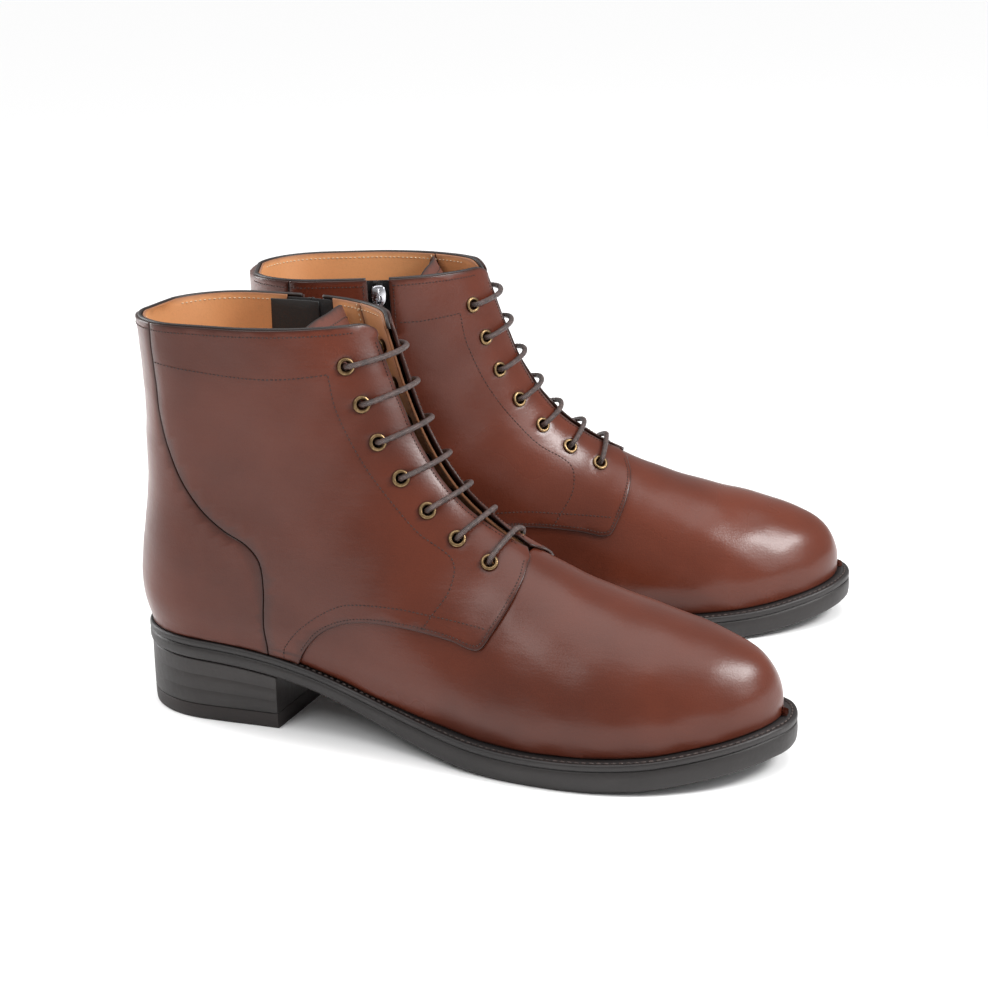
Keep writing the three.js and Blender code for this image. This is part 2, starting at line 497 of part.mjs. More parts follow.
function buildUpper() {
  const parts = {};
  // Everything in the upper ends on the feather line.
  const footing = plate((x) => Math.max(FOOTING_REACH, reachAt(x)), (x) => featherZ(x) - FAR, featherZ);
  const layer = (inner, outer) => skin(inner, outer).subtract(footing);
  const full = layer(0, QUARTER_OUT);
  const underQuarter = skin(-2, QUARTER_IN);
  const belowTop = sideCutter([[-FAR, -FAR], [FAR_FRONT, -FAR], [FAR_FRONT, SHAFT_HEIGHT],
    [-FAR, SHAFT_HEIGHT]], 0);
  const vampLayer = layer(0, VAMP_OUT);
  const lining = layer(LINING_IN, LINING_OUT);
  parts.vamp = cutFrom(vampLayer, ahead(vampRear), 0);

  const vampRoom = sideCutter(ahead(beside(vampRear, CLEARANCE)), 0).intersect(underQuarter);
  const quarterStock = full.intersect(belowTop).subtract(vampRoom).subtract(throatCutter(0));
  const edge = (side) => beside(backSeam[side], -CLEARANCE);
  const quarterOutline = (side) => [[edge(side)[0][0], -FAR], [quarterFront[0][0], -FAR], ...quarterFront,
    [190 * stretch, 150], ...cornerRun, ...edge(side).filter((p) => p[1] < SHAFT_HEIGHT + FAR).reverse()];
  parts.lateral_quarter = cutFrom(quarterStock, quarterOutline(LATERAL), LATERAL);
  const medialStock = cutFrom(quarterStock, quarterOutline(MEDIAL), MEDIAL);
  const slot = zipStrip(-ZIP_SLOT, ZIP_SLOT, ZIP_BOTTOM_Z, SHAFT_HEIGHT + FAR);
  const rearFoot = ZIP_BOTTOM_Z + REAR_FOOT;
  parts.medial_quarter = medialStock.subtract(slot).subtract(behindZip(rearFoot - CLEARANCE));
  parts.medial_rear_quarter = medialStock.subtract(slot).intersect(behindZip(rearFoot));

  const panelOutline = (side) => [[-FAR, -FAR], [backSeam[side][0][0], -FAR], ...backSeam[side],
    [-FAR, backSeam[side].at(-1)[1]]];
  parts.back_panel = full.intersect(bothSides(panelOutline)).intersect(belowTop);

  // Linings: the vamp's, the tan one round the back and outer side, and the one before the zip.
  const liningRear = vampRear.map(([x, z]) => [x + QUARTER_OVERLAP, z]);
  const facingEdge = sectionRun(ridgeLength[7] - 2, FACING_WIDTH);
  const facingLoop = (grow) => [...beside(facingEdge, grow), [facingEdge.at(-1)[0] + 3 * FAR, LAST_TOP_Z],
    [230 * stretch, facingEdge[0][1]]];
  const facingRoom = sideCutter(facingLoop(CLEARANCE), 0);
  parts.vamp_lining = cutFrom(lining, ahead(liningRear), 0).subtract(facingRoom);
  const shaftStock = lining.intersect(belowTop).subtract(facingRoom)
    .subtract(sideCutter(ahead(beside(liningRear, CLEARANCE)), 0));
  const zipRoom = zipStrip(-TAPE_HALF - CLEARANCE, TAPE_HALF + CLEARANCE,
    ZIP_BOTTOM_Z - ZIP_FOOT - CLEARANCE, SHAFT_HEIGHT + FAR);
  parts.medial_lining = shaftStock.intersect(frontOfZip(CLEARANCE / 2)).subtract(zipRoom);
  parts.quarter_lining = shaftStock.subtract(frontOfZip(-CLEARANCE / 2)).subtract(zipRoom);

  // Facings: the strips behind the eyelets, and the stay tape that the eyelets share.
  const vampUnder = sideCutter(ahead(beside(vampRear, 2 * CLEARANCE)), 0);
  const facingFoot = THROAT_Z - FACING_FOOT;
  const facingWindow = sideCutter([[0, facingFoot], [FAR_FRONT, facingFoot], [FAR_FRONT, ABOVE_VAMP],
    ...cornerRun, [0, SHAFT_HEIGHT]], 0);
  const facing = skin(FACING_IN, FACING_OUT).intersect(sideCutter(facingLoop(0), 0)).intersect(facingWindow)
    .subtract(throatCutter(FACING_SETBACK)).subtract(vampUnder);
  const tape = skin(TAPE_IN, TAPE_OUT).intersect(sideCutter(facingLoop(-TAPE_SETBACK), 0))
    .intersect(facingWindow).subtract(throatCutter(TAPE_SETBACK)).subtract(vampUnder);
  const tapeRoom = skin(-1, TAPE_OUT + CLEARANCE).intersect(facingRoom)
    .intersect(sideCutter([[0, facingFoot - CLEARANCE], [FAR_FRONT, facingFoot - CLEARANCE],
      [FAR_FRONT, SHAFT_HEIGHT + FAR], [0, SHAFT_HEIGHT + FAR]], 0));
  for (const [side, name] of [[LATERAL, 'lateral'], [MEDIAL, 'medial']]) {
    const half = sideCutter([[-FAR, -FAR], [FAR_FRONT, -FAR], [FAR_FRONT, SHAFT_HEIGHT + FAR],
      [-FAR, SHAFT_HEIGHT + FAR]], side);
    const holes = punches(side, HOLE_RADIUS);
    parts[`${name}_quarter`] = parts[`${name}_quarter`].subtract(tapeRoom).subtract(holes);
    parts[`${name}_facing`] = facing.intersect(half).subtract(holes);
    let row = tape.intersect(half).subtract(punches(side, (EYELET_BORE + EYELET_BARREL) / 2));
    for (const at of eyeletsAt) row = row.add(eyelet(side, at));
    parts[`${name}_eyelet_row`] = row;
  }

  // Tongue: sewn under the vamp's throat, it leans back at the top.
  const tongueEdge = sectionRun(ridgeLength[7] - TONGUE_SEAM, TONGUE_REACH);
  const tongueTop = SHAFT_HEIGHT - TONGUE_DROP;
  const tongueLoop = [...tongueEdge, [tongueEdge.at(-1)[0] + 3 * FAR, LAST_TOP_Z],
    [tongueEdge[0][0], ABOVE_VAMP]];
  parts.tongue = skin(tongueIn, tongueOut).intersect(sideCutter(tongueLoop, 0))
    .intersect(sideCutter([[0, 0], [FAR_FRONT, 0], [FAR_FRONT, tongueTop], [0, tongueTop]], 0));

  // Zip: a tape with half of the teeth on either side, and a guard behind.
  const tapeLayer = layer(LINING_IN + TAPE_THINNER, LINING_OUT);
  const teethLayer = skin(LINING_OUT - TAPE_THINNER, LINING_OUT + TEETH_HEIGHT);
  const zipFoot = ZIP_BOTTOM_Z - ZIP_FOOT;
  const zipTop = SHAFT_HEIGHT - ZIP_SET_DOWN;
  parts.zip_front_stringer = tapeLayer.intersect(zipStrip(CLEARANCE / 2, TAPE_HALF, zipFoot, zipTop))
    .add(teethLayer.intersect(zipStrip(CLEARANCE / 2, TEETH_HALF, ZIP_BOTTOM_Z + 1, zipTop)));
  parts.zip_rear_stringer = tapeLayer.intersect(zipStrip(-TAPE_HALF, -CLEARANCE / 2, zipFoot, zipTop))
    .add(teethLayer.intersect(zipStrip(-TEETH_HALF, -CLEARANCE / 2, ZIP_BOTTOM_Z + 1, zipTop)));
  parts.zip_guard = layer(LINING_IN - CLEARANCE - LINING_LEATHER, LINING_IN - CLEARANCE)
    .intersect(zipStrip(-GUARD_HALF, GUARD_HALF, zipFoot, SHAFT_HEIGHT - GUARD_SET_DOWN));
  const { slider, pull } = zipSlider();
  parts.zip_slider = slider;
  parts.zip_pull = pull;
  parts.lace = lace();
  return parts;
}

// ---- eyelets -------------------------------------------------------------------------
function upright(geometry, side, at, turnTo) {
  const spot = locate(at[0], at[1]);
  const normal = lastNormal(side, spot.s, spot.angle);
  const turn = new THREE.Quaternion().setFromUnitVectors(turnTo, normal);
  geometry.applyQuaternion(turn);
  const foot = seatPoint(side, spot);
  geometry.translate(foot.x, foot.y, foot.z);
  return geometry;
}
function punches(side, radius) {
  let all = null;
  for (const at of eyeletsAt) {
    const geometry = new THREE.CylinderGeometry(radius, radius, PUNCH_LENGTH, EYELET_SEGMENTS);
    const punch = toSolid(upright(geometry, side, at, UP));
    all = all ? all.add(punch) : punch;
  }
  return all;
}
function eyelet(side, at) {
  const top = QUARTER_OUT + FLANGE_SEAT;
  const foot = FACING_IN - ROLLED_SEAT;
  const profile = [[EYELET_BORE, foot - ROLLED_THICKNESS], [ROLLED_RADIUS, foot - ROLLED_THICKNESS],
    [EYELET_BARREL, foot], [EYELET_BARREL, top], [EYELET_FLANGE, top],
    [EYELET_BORE + EYELET_CHAMFER, top + FLANGE_THICKNESS],
    [EYELET_BORE, foot - ROLLED_THICKNESS]];
  const geometry = new THREE.LatheGeometry(profile.map(([r, h]) => new THREE.Vector2(r, h)), EYELET_SEGMENTS);
  return toSolid(upright(geometry, side, at, UP));
}

// ---- zip slider and pull -------------------------------------------------------------
function zipFrame() {
  const top = onLast(MEDIAL, zipX(SLIDER_TOP_Z), SLIDER_TOP_Z, -CHAIN_DIP);
  const bottom = onLast(MEDIAL, zipX(SLIDER_LOW_Z), SLIDER_LOW_Z, 0);
  const down = bottom.clone().sub(top);
  const travel = down.length();
  down.normalize();
  const spot = locate(zipX(SLIDER_TOP_Z), SLIDER_TOP_Z);
  const out = lastNormal(MEDIAL, spot.s, spot.angle);
  out.addScaledVector(down, -out.dot(down)).normalize();
  const across = new THREE.Vector3().crossVectors(out, down);
  return { top, down, out, across, travel };
}
function zipSlider() {
  const { top, down, out, across } = zipFrame();
  const toPlace = new THREE.Matrix4().makeBasis(across, down.clone().negate(), out).setPosition(top);
  const block = (x, y, z, sizeX, sizeY, sizeZ) => {
    const geometry = new THREE.BoxGeometry(sizeX, sizeY, sizeZ);
    geometry.translate(x, y, z);
    return toSolid(geometry.applyMatrix4(toPlace));
  };
  const rod = (radius, length, y, z) => {
    const geometry = new THREE.CylinderGeometry(radius, radius, length, PIN_SEGMENTS);
    geometry.rotateZ(Math.PI / 2);
    geometry.translate(0, y, z);
    return toSolid(geometry.applyMatrix4(toPlace));
  };
  const seat = LINING_OUT + TEETH_HEIGHT + CLEARANCE;
  const faceZ = seat + SLIDER_THICKNESS;
  const pinZ = faceZ + PIN_LIFT;
  const slider = block(0, 0, seat + SLIDER_THICKNESS / 2, 2 * SLIDER_HALF, SLIDER_LENGTH, SLIDER_THICKNESS)
    .add(block(0, 0, faceZ + PIN_LIFT / 2, LUG_WIDTH, LUG_LENGTH, PIN_LIFT + LUG_TOP))
    .add(rod(PIN_RADIUS, 2 * (PULL_HALF + PIN_END), 0, pinZ));
  const fork = block(0, 0, pinZ, LUG_WIDTH + 2 * CLEARANCE, LUG_LENGTH + FORK_REACH, 4 * PULL_THICKNESS);
  const middle = PIN_RADIUS + PULL_HEAD - PULL_LENGTH / 2;
  const pull = block(0, middle, pinZ, 2 * PULL_HALF, PULL_LENGTH, PULL_THICKNESS)
    .add(rod(PIN_RADIUS + PULL_KNUCKLE, 2 * PULL_HALF, 0, pinZ))
    .subtract(fork)
    .subtract(rod(PIN_RADIUS + CLEARANCE / 2, 4 * PULL_HALF, 0, pinZ));
  return { slider, pull };
}

// ---- lace ----------------------------------------------------------------------------
// One lace: a straight bar over each pair of eyelets, and a step behind the facings from
// each pair to the next.
function lacePoints() {
  const over = QUARTER_OUT + FLANGE_SEAT + FLANGE_THICKNESS + LACE_RADIUS + LACE_GAP;
  const under = FACING_IN - ROLLED_SEAT - ROLLED_THICKNESS - LACE_RADIUS - LACE_GAP;
  const points = [];
  const holeFrame = (side, at) => {
    const spot = locate(at[0], at[1]);
    return { side, spot, foot: seatPoint(side, spot), out: lastNormal(side, spot.s, spot.angle) };
  };
  const toward = (hole, target, shift, height) => {
    const way = target.clone().sub(hole.foot);
    way.addScaledVector(hole.out, -way.dot(hole.out)).normalize();
    return hole.foot.clone().addScaledVector(hole.out, height).addScaledVector(way, shift);
  };
  const ridgeSpot = (hole) => seatPoint(hole.side, { s: hole.spot.s, angle: 0.01 });
  const edgePoint = (hole) => {
    let angle = hole.spot.angle;
    const half = throatHalf(hole.foot.z) + 1;
    while (Math.abs(lastPoint(hole.side, hole.spot.s, angle).y) > half) angle -= 0.01;
    return seatPoint(hole.side, { s: hole.spot.s, angle })
      .addScaledVector(lastNormal(hole.side, hole.spot.s, angle), over + LACE_GAP);
  };
  const mouth = (hole, target) => [[0.2, over - 1.4], [2.1, over]].map(([shift, height]) => (
    toward(hole, target, shift, height)));
  const inner = (hole, target) => [[0, -1], [0.5, under + 0.7], [2.2, under]].map(([shift, height]) => (
    toward(hole, target, shift, height)));
  let side = LATERAL;
  eyeletsAt.forEach((at, i) => {
    const from = holeFrame(side, at);
    const to = holeFrame(-side, at);
    const before = i > 0 ? holeFrame(side, eyeletsAt[i - 1]).foot : holeFrame(side, eyeletsAt[1]).foot;
    const after = i < eyeletsAt.length - 1 ? holeFrame(-side, eyeletsAt[i + 1]).foot
      : holeFrame(-side, eyeletsAt[i - 1]).foot;
    if (i === 0) points.push(toward(from, before, LACE_TAIL, under - 0.4));
    points.push(...inner(from, before).reverse());
    points.push(...mouth(from, ridgeSpot(from)), edgePoint(from));
    points.push(edgePoint(to), ...mouth(to, ridgeSpot(to)).reverse());
    points.push(...inner(to, after));
    if (i === eyeletsAt.length - 1) points.push(toward(to, after, LACE_TAIL, under - 0.4));
    side = -side;
  });
  return points;
}
function lace() {
  const points = lacePoints();
  const path = new THREE.CatmullRomCurve3(points, false, 'centripetal');
  path.getPointAt = path.getPoint;
  path.getTangentAt = path.getTangent;
  path.getSpacedPoints = path.getPoints;
  const shape = new THREE.Shape(Array.from({ length: LACE_SIDES }, (_, i) => {
    const turn = i / LACE_SIDES * 2 * Math.PI;
    return new THREE.Vector2(LACE_RADIUS * Math.cos(turn), LACE_RADIUS * Math.sin(turn));
  }));
  const steps = points.length - 1;
  return toSolid(new THREE.ExtrudeGeometry(shape, { steps, extrudePath: path, bevelEnabled: false }));
}

// ---- sole ----------------------------------------------------------------------------
const reachAt = (x) => mix(WELT_REACH_HEEL, WELT_REACH_FORE, smooth((x / stretch - 120) / 60));
const outsoleThickness = (x) => mix(OUTSOLE_HEEL, OUTSOLE_FOREFOOT, smooth((x / stretch - 100) / 70));
const weltTop = (x) => featherZ(x) - CLEARANCE;
const weltBottom = (x) => weltTop(x) - WELT_THICKNESS;
const outsoleTop = (x) => weltBottom(x) - CLEARANCE;
const outsoleBottom = (x) => Math.max(0, outsoleTop(x) - outsoleThickness(x));
// A plate under the foot: the upper's outline pushed out by reach, between two heights.
function plate(reach, bottom, top) {
  const outline = (side) => Array.from({ length: PLATE_STATIONS + 1 }, (_, i) => {
    const x = mix(HEEL_SEAT_X, UPPER_LENGTH, (1 - Math.cos(Math.PI * i / PLATE_STATIONS)) / 2);
    const heel = rounding((x - HEEL_SEAT_X) / HEEL_ROUND, HEEL_POWER);
    const half = GIRTH * soleWidth[side](x) * toeRound(x) * heel;
    return new THREE.Vector2(x, centreY(x) + side * half);
  });
  const loop = [...outline(LATERAL), ...outline(MEDIAL).reverse().slice(1, -1)];
  const pushed = loop.map((p, i) => {
    const along = loop[(i + 1) % loop.length].clone().sub(loop.at(i - 1)).normalize();
    return new THREE.Vector2(p.x + along.y * valueOf(reach, p.x), p.y - along.x * valueOf(reach, p.x));
  });
  const points = [];
  const rowOf = (i) => [pushed[i], pushed[(loop.length - i) % loop.length]];
  for (let i = 0; i <= PLATE_STATIONS; i += 1) {
    const [lateral, medial] = rowOf(i);
    for (const [p, height] of [[lateral, bottom], [medial, bottom], [medial, top], [lateral, top]]) {
      points.push(new THREE.Vector3(p.x, p.y, valueOf(height, p.x)));
    }
  }
  const triangles = [];
  for (let i = 0; i < PLATE_STATIONS; i += 1) {
    for (let k = 0; k < 4; k += 1) {
      const a = 4 * i + k;
      const b = 4 * i + (k + 1) % 4;
      triangles.push(a, a + 4, b, b, a + 4, b + 4);
    }
  }
  return toSolid(surfaceGeometry(points, triangles.reverse()));
}
function buildSole() {
  const inward = (amount) => -amount;
  const breast = BREAST_X * stretch;
  const behindBreast = sideCutter([[-FAR, -FAR], [breast, -FAR], [breast, ABOVE_VAMP],
    [-FAR, ABOVE_VAMP]], 0);
  const heelReach = WELT_REACH_HEEL - HEEL_INSET;
  const heelTop = (x) => outsoleBottom(x) - CLEARANCE;
  const low = (height) => (x) => height(x) - WELT_THICKNESS;
  const high = (height) => (x) => height(x) + WELT_THICKNESS;
  const shankBox = (grow) => {
    const outline = featherRun(SHANK_START - grow, SHANK_END + grow);
    const upper = outline.map(([x]) => [x, weltBottom(x) + SHANK_THICKNESS + grow]);
    const lower = outline.map(([x]) => [x, weltBottom(x) + CLEARANCE - SHANK_DROP * grow]).reverse();
    const shape = new THREE.Shape([...upper, ...lower].map(([x, z]) => new THREE.Vector2(x, z)));
    const geometry = new THREE.ExtrudeGeometry(shape, { depth: SHANK_WIDTH + 2 * grow, bevelEnabled: false });
    geometry.rotateX(Math.PI / 2);
    geometry.translate(0, SHANK_WIDTH / 2 + grow, 0);
    return toSolid(geometry);
  };
  const insoleReach = inward(LAST_INSET - LINING_IN + INSOLE_GAP);
  const sockBottom = (x) => featherZ(x) + INSOLE_THICKNESS + CLEARANCE;
  return {
    welt: plate(reachAt, weltBottom, weltTop)
      .subtract(plate(inward(WELT_INSIDE), low(weltBottom), high(weltTop))),
    cork_filler: plate(inward(WELT_INSIDE + CLEARANCE), weltBottom, weltTop).subtract(shankBox(CLEARANCE)),
    shank: shankBox(0),
    outsole: plate(reachAt, outsoleBottom, outsoleTop),
    heel_base: plate(heelReach, TOP_PIECE_THICKNESS + CLEARANCE, heelTop).intersect(behindBreast),
    heel_top_piece: plate(heelReach, 0, TOP_PIECE_THICKNESS).intersect(behindBreast),
    insole: plate(insoleReach, featherZ, (x) => featherZ(x) + INSOLE_THICKNESS),
    sock_liner: plate(insoleReach, sockBottom, (x) => sockBottom(x) + SOCK_THICKNESS),
  };
}

// ---- materials and assembly ----------------------------------------------------------
const finish = (name, color, roughness, metalness = 0) => (
  new THREE.MeshStandardMaterial({ name, color, roughness, metalness }));
const leather = finish('upper_leather', 0x7c4636, 0.4);
const tan = finish('lining_leather', 0xc78a57, 0.6);
const black = finish('black_leather', 0x1c1a1a, 0.6);
const rubber = finish('sole_rubber', 0x35302f, 0.7);
const fibre = finish('fibre_board', 0xa9825c, 0.9);
const steel = finish('steel', 0xb8b8ba, 0.3, 1);
const brass = finish('antique_brass', 0x8f7a55, 0.35, 1);
const cord = finish('waxed_cord', 0x54453f, 0.7);
const fabric = finish('zip_tape', 0x1b1919, 0.9);
const MATERIAL_OF = {
  vamp: leather, lateral_quarter: leather, medial_quarter: leather, medial_rear_quarter: leather,
  back_panel: leather, vamp_lining: tan, medial_lining: tan, quarter_lining: tan, tongue: black,
  lateral_facing: tan, medial_facing: tan, lateral_eyelet_row: brass, medial_eyelet_row: brass,
  zip_front_stringer: fabric, zip_rear_stringer: fabric, zip_guard: black, zip_slider: steel, zip_pull: steel,
  lace: cord, welt: rubber, outsole: rubber, heel_base: rubber, heel_top_piece: rubber, insole: fibre,
  sock_liner: tan, cork_filler: fibre, shank: steel,
};

function toMesh(solid, name, place, mirrored) {
  const data = solid.getMesh();
  const geometry = new THREE.BufferGeometry();
  const positions = new Float32Array(data.numVert * 3);
  for (let i = 0; i < data.numVert; i += 1) {
    for (let k = 0; k < 3; k += 1) positions[3 * i + k] = data.vertProperties[i * data.numProp + k];
    if (mirrored) positions[3 * i + 1] *= -1;
  }
  geometry.setAttribute('position', new THREE.BufferAttribute(positions, 3));
  const index = mirrored ? Array.from(data.triVerts).reverse() : Array.from(data.triVerts);
  geometry.setIndex(index);
  geometry.translate(-PIVOT_X * stretch, 0, 0);
  geometry.rotateZ(THREE.MathUtils.degToRad(place.yaw));
  geometry.translate(place.x, place.y, 0);
  const part = name.slice(name.indexOf('_') + 1);
  const mesh = new THREE.Mesh(geometry, MATERIAL_OF[part]);
  mesh.name = name;
  return mesh;
}

const boot = { ...buildSole(), ...buildUpper() };
const pair = new THREE.Group();
pair.name = 'ankle_boots';
for (const [prefix, place, mirrored] of [['right', RIGHT_PLACE, false], ['left', LEFT_PLACE, true]]) {
  for (const [part, solid] of Object.entries(boot)) {
    pair.add(toMesh(solid, `${prefix}_${part}`, place, mirrored));
  }
}
// The pair stands on the floor with the middle of its bounding box over the origin.
const box = new THREE.Box3().setFromObject(pair);
const middle = box.getCenter(new THREE.Vector3());
for (const mesh of pair.children) {
  mesh.geometry.translate(-middle.x, -middle.y, -box.min.z);
  mesh.geometry.computeVertexNormals();
}
export default pair;
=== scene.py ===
"""A pair of brown lace-up ankle boots: leather, stitching, zips, laces and soles."""
import math

import bpy
import numpy as np
from mathutils import Matrix, Vector
from mathutils.geometry import delaunay_2d_cdt


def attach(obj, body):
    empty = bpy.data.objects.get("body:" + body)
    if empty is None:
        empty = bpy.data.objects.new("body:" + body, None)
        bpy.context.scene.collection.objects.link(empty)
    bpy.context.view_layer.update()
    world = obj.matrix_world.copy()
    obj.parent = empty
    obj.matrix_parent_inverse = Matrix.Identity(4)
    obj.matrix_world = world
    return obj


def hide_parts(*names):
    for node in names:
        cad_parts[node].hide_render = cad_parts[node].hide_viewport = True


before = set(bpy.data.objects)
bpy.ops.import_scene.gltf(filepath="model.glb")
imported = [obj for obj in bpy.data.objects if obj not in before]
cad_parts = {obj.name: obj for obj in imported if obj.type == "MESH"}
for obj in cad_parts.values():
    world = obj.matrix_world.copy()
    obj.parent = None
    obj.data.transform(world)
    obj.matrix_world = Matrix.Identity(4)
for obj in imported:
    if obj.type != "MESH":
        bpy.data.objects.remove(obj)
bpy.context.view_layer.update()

# ---- sizes in millimetres, in the frame of one right boot ---------------------------
LENGTH = 300
GIRTH = 0.96
TOP = 184
INSET = 2
GAP = 0.3
TUCK = 3
LAST_TOP = 200
PLACES = {"right": (-9, -74, -10.8, 1), "left": (9, 74, 13.1, -1)}
MIDDLE = (2.3638, 1.6668)
PIVOT = 150
ROUND = 0.5



# ---- curves --------------------------------------------------------------------------
def smooth(t):
    t = np.clip(t, 0, 1)
    return t * t * (3 - 2 * t)


def mix(a, b, t):
    return a + (b - a) * t


def unit(v):
    return v / np.maximum(np.linalg.norm(v, axis=-1, keepdims=True), 1e-9)


def square_to(v, axis):
    """The unit vector of what v has at right angles to axis."""
    return unit(v - axis * np.dot(v, axis))


def spline(knots):
    k = np.array(knots, float)
    x, y = k[:, 0], k[:, 1]
    h = np.diff(x)
    slope = np.diff(y) / h
    tangent = np.concatenate([[slope[0]], (slope[:-1] * h[:-1] + slope[1:] * h[1:]) / (h[:-1] + h[1:]),
            [slope[-1]]])

    def at(value):
        v = np.clip(np.asarray(value, float), x[0], x[-1])
        i = np.clip(np.searchsorted(x, v, side="left") - 1, 0, len(h) - 1)
        t = (v - x[i]) / h[i]
        return ((1 + 2 * t) * (1 - t) ** 2 * y[i] + t * (1 - t) ** 2 * h[i] * tangent[i]
                + t * t * (3 - 2 * t) * y[i + 1] + t * t * (t - 1) * h[i] * tangent[i + 1])
    return at


feather = spline([(-5, 39.4), (30, 39), (60, 37), (90, 32), (130, 21.5), (170, 14.9), (205, 12.9), (250, 14.9),
                  (280, 19), (300, 22.5)])
RIDGE = np.array([(300, 22.5), (299.5, 33), (295, 43.5), (285, 52), (266, 59.5), (240, 66.5), (215, 74.5),
                  (190, 86),
                  (170, 98), (155, 111.5), (142.5, 130), (133, 151), (126, 172), (117, 200)], float)
RL = np.concatenate([[0], np.cumsum(np.hypot(*np.diff(RIDGE, axis=0).T))])
ridge_x = spline(np.c_[RL, RIDGE[:, 0]])
ridge_z = spline(np.c_[RL, RIDGE[:, 1]])
END = RL[13]
INSTEP = RL[7]
back_x = spline([(20, 4), (38, 3.5), (48, 1.2), (60, 0), (75, 1.2), (95, 5), (115, 7), (128, 7.8), (140, 8.6),
                 (158, 9), (172, 8.4), (200, 7)])
lateral_sole = spline([(0, 31), (40, 32.5), (80, 31.5), (115, 33), (150, 39.5), (185, 47.5), (215, 50),
                       (245, 48.5),
                       (275, 45), (300, 42)])
medial_sole = spline([(0, 31), (40, 31.5), (80, 29.5), (115, 28.5), (150, 33.5), (185, 42.5), (215, 46.5),
                      (245, 46),
                      (275, 43), (300, 41)])
shaft_width = spline([(20, 34), (60, 35), (85, 34.5), (105, 34), (130, 35.5), (150, 37.5), (172, 39.5),
                      (200, 42)])
centre_y = spline([(0, 0), (200, 0), (250, 1), (280, 3), (300, 5)])
cap_reach = spline([(0, 62), (RL[5], 64), (RL[7], 64), (RL[9], 60), (RL[11], 54), (END, 52)])
fullness = spline([(0, 2.25), (RL[7], 2.2), (RL[10], 1.8), (END, 1.75)])
HEEL_X = float(back_x(40))
back_q = spline([(INSTEP, (LENGTH - RIDGE[7][0]) / (LENGTH - HEEL_X)), (RL[8], 0.68), (RL[9], 0.98),
                 (RL[10], 1.25),
                 (RL[11], 1.45), (RL[12], 1.72), (END, 2)])


def rounding(t, power):
    return np.sqrt(np.maximum(0, 1 - (1 - np.clip(t, 0, 1)) ** power))


def toe_round(x):
    return np.sqrt(np.maximum(0, 1 - np.clip((x - 222) / (LENGTH - 222), 0, 1) ** 2.3))


def sole_width(side, x):
    return np.where(side < 0, lateral_sole(x), medial_sole(x))


def end_q(s):
    return np.where(s <= INSTEP, (LENGTH - ridge_x(s)) / (LENGTH - HEEL_X), back_q(s))


def section_end(q):
    x = mix(LENGTH, HEEL_X, np.minimum(q, 1))
    z = mix(feather(HEEL_X) - TUCK, LAST_TOP, np.maximum(q - 1, 0))
    low = q < 1
    return np.where(low, x, back_x(z)), np.where(low, feather(x) - TUCK, z)


def position(s, v):
    """Points of the last: s along the ridge, v the turn from the ridge, negative on the outer side."""
    s, v = np.broadcast_arrays(np.asarray(s, float), np.asarray(v, float))
    side = np.where(v < 0, -1.0, 1.0)
    a = np.abs(v)
    over = a > math.pi
    side = np.where(over, -side, side)
    a = np.where(over, 2 * math.pi - a, a)
    sx, sz = ridge_x(s), ridge_z(s)
    ex, ez = section_end(end_q(s))
    c = (1 - np.cos(a)) / 2
    x, z = mix(sx, ex, c), mix(sz, ez, c)
    span = np.hypot(ex - sx, ez - sz)
    reach = (span ** -6.0 + cap_reach(s) ** -6.0) ** (-1 / 6)
    cap = rounding(np.hypot(x - sx, z - sz) / reach, fullness(s))
    back = rounding((x - back_x(z)) / 38, 2.3)
    above = z - feather(x)
    low = (sole_width(side, x) + 2.5 * smooth(above / 16)) * toe_round(x)
    blend = smooth((above - 8) / 62) * smooth((240 - x) / 90)
    y = centre_y(x) + side * GIRTH * mix(low, shaft_width(z), blend) * cap * back
    return np.stack([x, y, z], -1)


def normal(s, v):
    s, v = np.broadcast_arrays(np.asarray(s, float), np.asarray(v, float))
    limit = np.where(end_q(s) < 1, math.pi - 0.03, 4.0)
    v = np.clip(v, -limit, limit)
    along = position(s + 1, v) - position(s - 1, v)
    across = position(s, v + 0.03) - position(s, v - 0.03)
    return unit(np.cross(across, along))


def ripple(p):
    """Small unevenness of worked leather, in mm."""
    x, y, z = p[..., 0], p[..., 1], p[..., 2]
    return (0.16 * np.sin(x * 0.11 + z * 0.07 + 1.3) * np.sin(z * 0.13 - y * 0.05)
            + 0.10 * np.sin(x * 0.23 - z * 0.19 + y * 0.11) + 0.05 * np.sin(z * 0.45 + x * 0.31 + 2.0))


def on_last(s, v, offset):
    p = position(s, v)
    return p + normal(s, v) * (np.asarray(offset)[..., None] - INSET)


def locate(x, z):
    """Section and turn (always positive) of the points seen at (x, z) from the side."""
    x, z = np.asarray(x, float), np.asarray(z, float)
    low, high = np.zeros_like(x), np.full_like(x, END)
    for _ in range(40):
        s = (low + high) / 2
        sx, sz = ridge_x(s), ridge_z(s)
        ex, ez = section_end(end_q(s))
        turn = (ex - sx) * (z - sz) - (ez - sz) * (x - sx)
        low = np.where(turn < 0, s, low)
        high = np.where(turn < 0, high, s)
    sx, sz = ridge_x(low), ridge_z(low)
    ex, ez = section_end(end_q(low))
    c = np.hypot(x - sx, z - sz) / np.maximum(np.hypot(ex - sx, ez - sz), 1e-6)
    return low, np.arccos(1 - 2 * np.clip(c, 0, 1))


def dense(points, step=1.2):
    """A smooth run through [x, z] points, evenly sampled."""
    p = np.array(points, float)
    if len(p) > 2:
        t = np.concatenate([[0], np.cumsum(np.hypot(*np.diff(p, axis=0).T))])
        u = np.linspace(0, t[-1], max(2, int(t[-1] / step) + 1))
        return np.c_[spline(np.c_[t, p[:, 0]])(u), spline(np.c_[t, p[:, 1]])(u)]
    n = max(2, int(np.hypot(*(p[1] - p[0])) / step) + 1)
    return np.linspace(p[0], p[1], n)


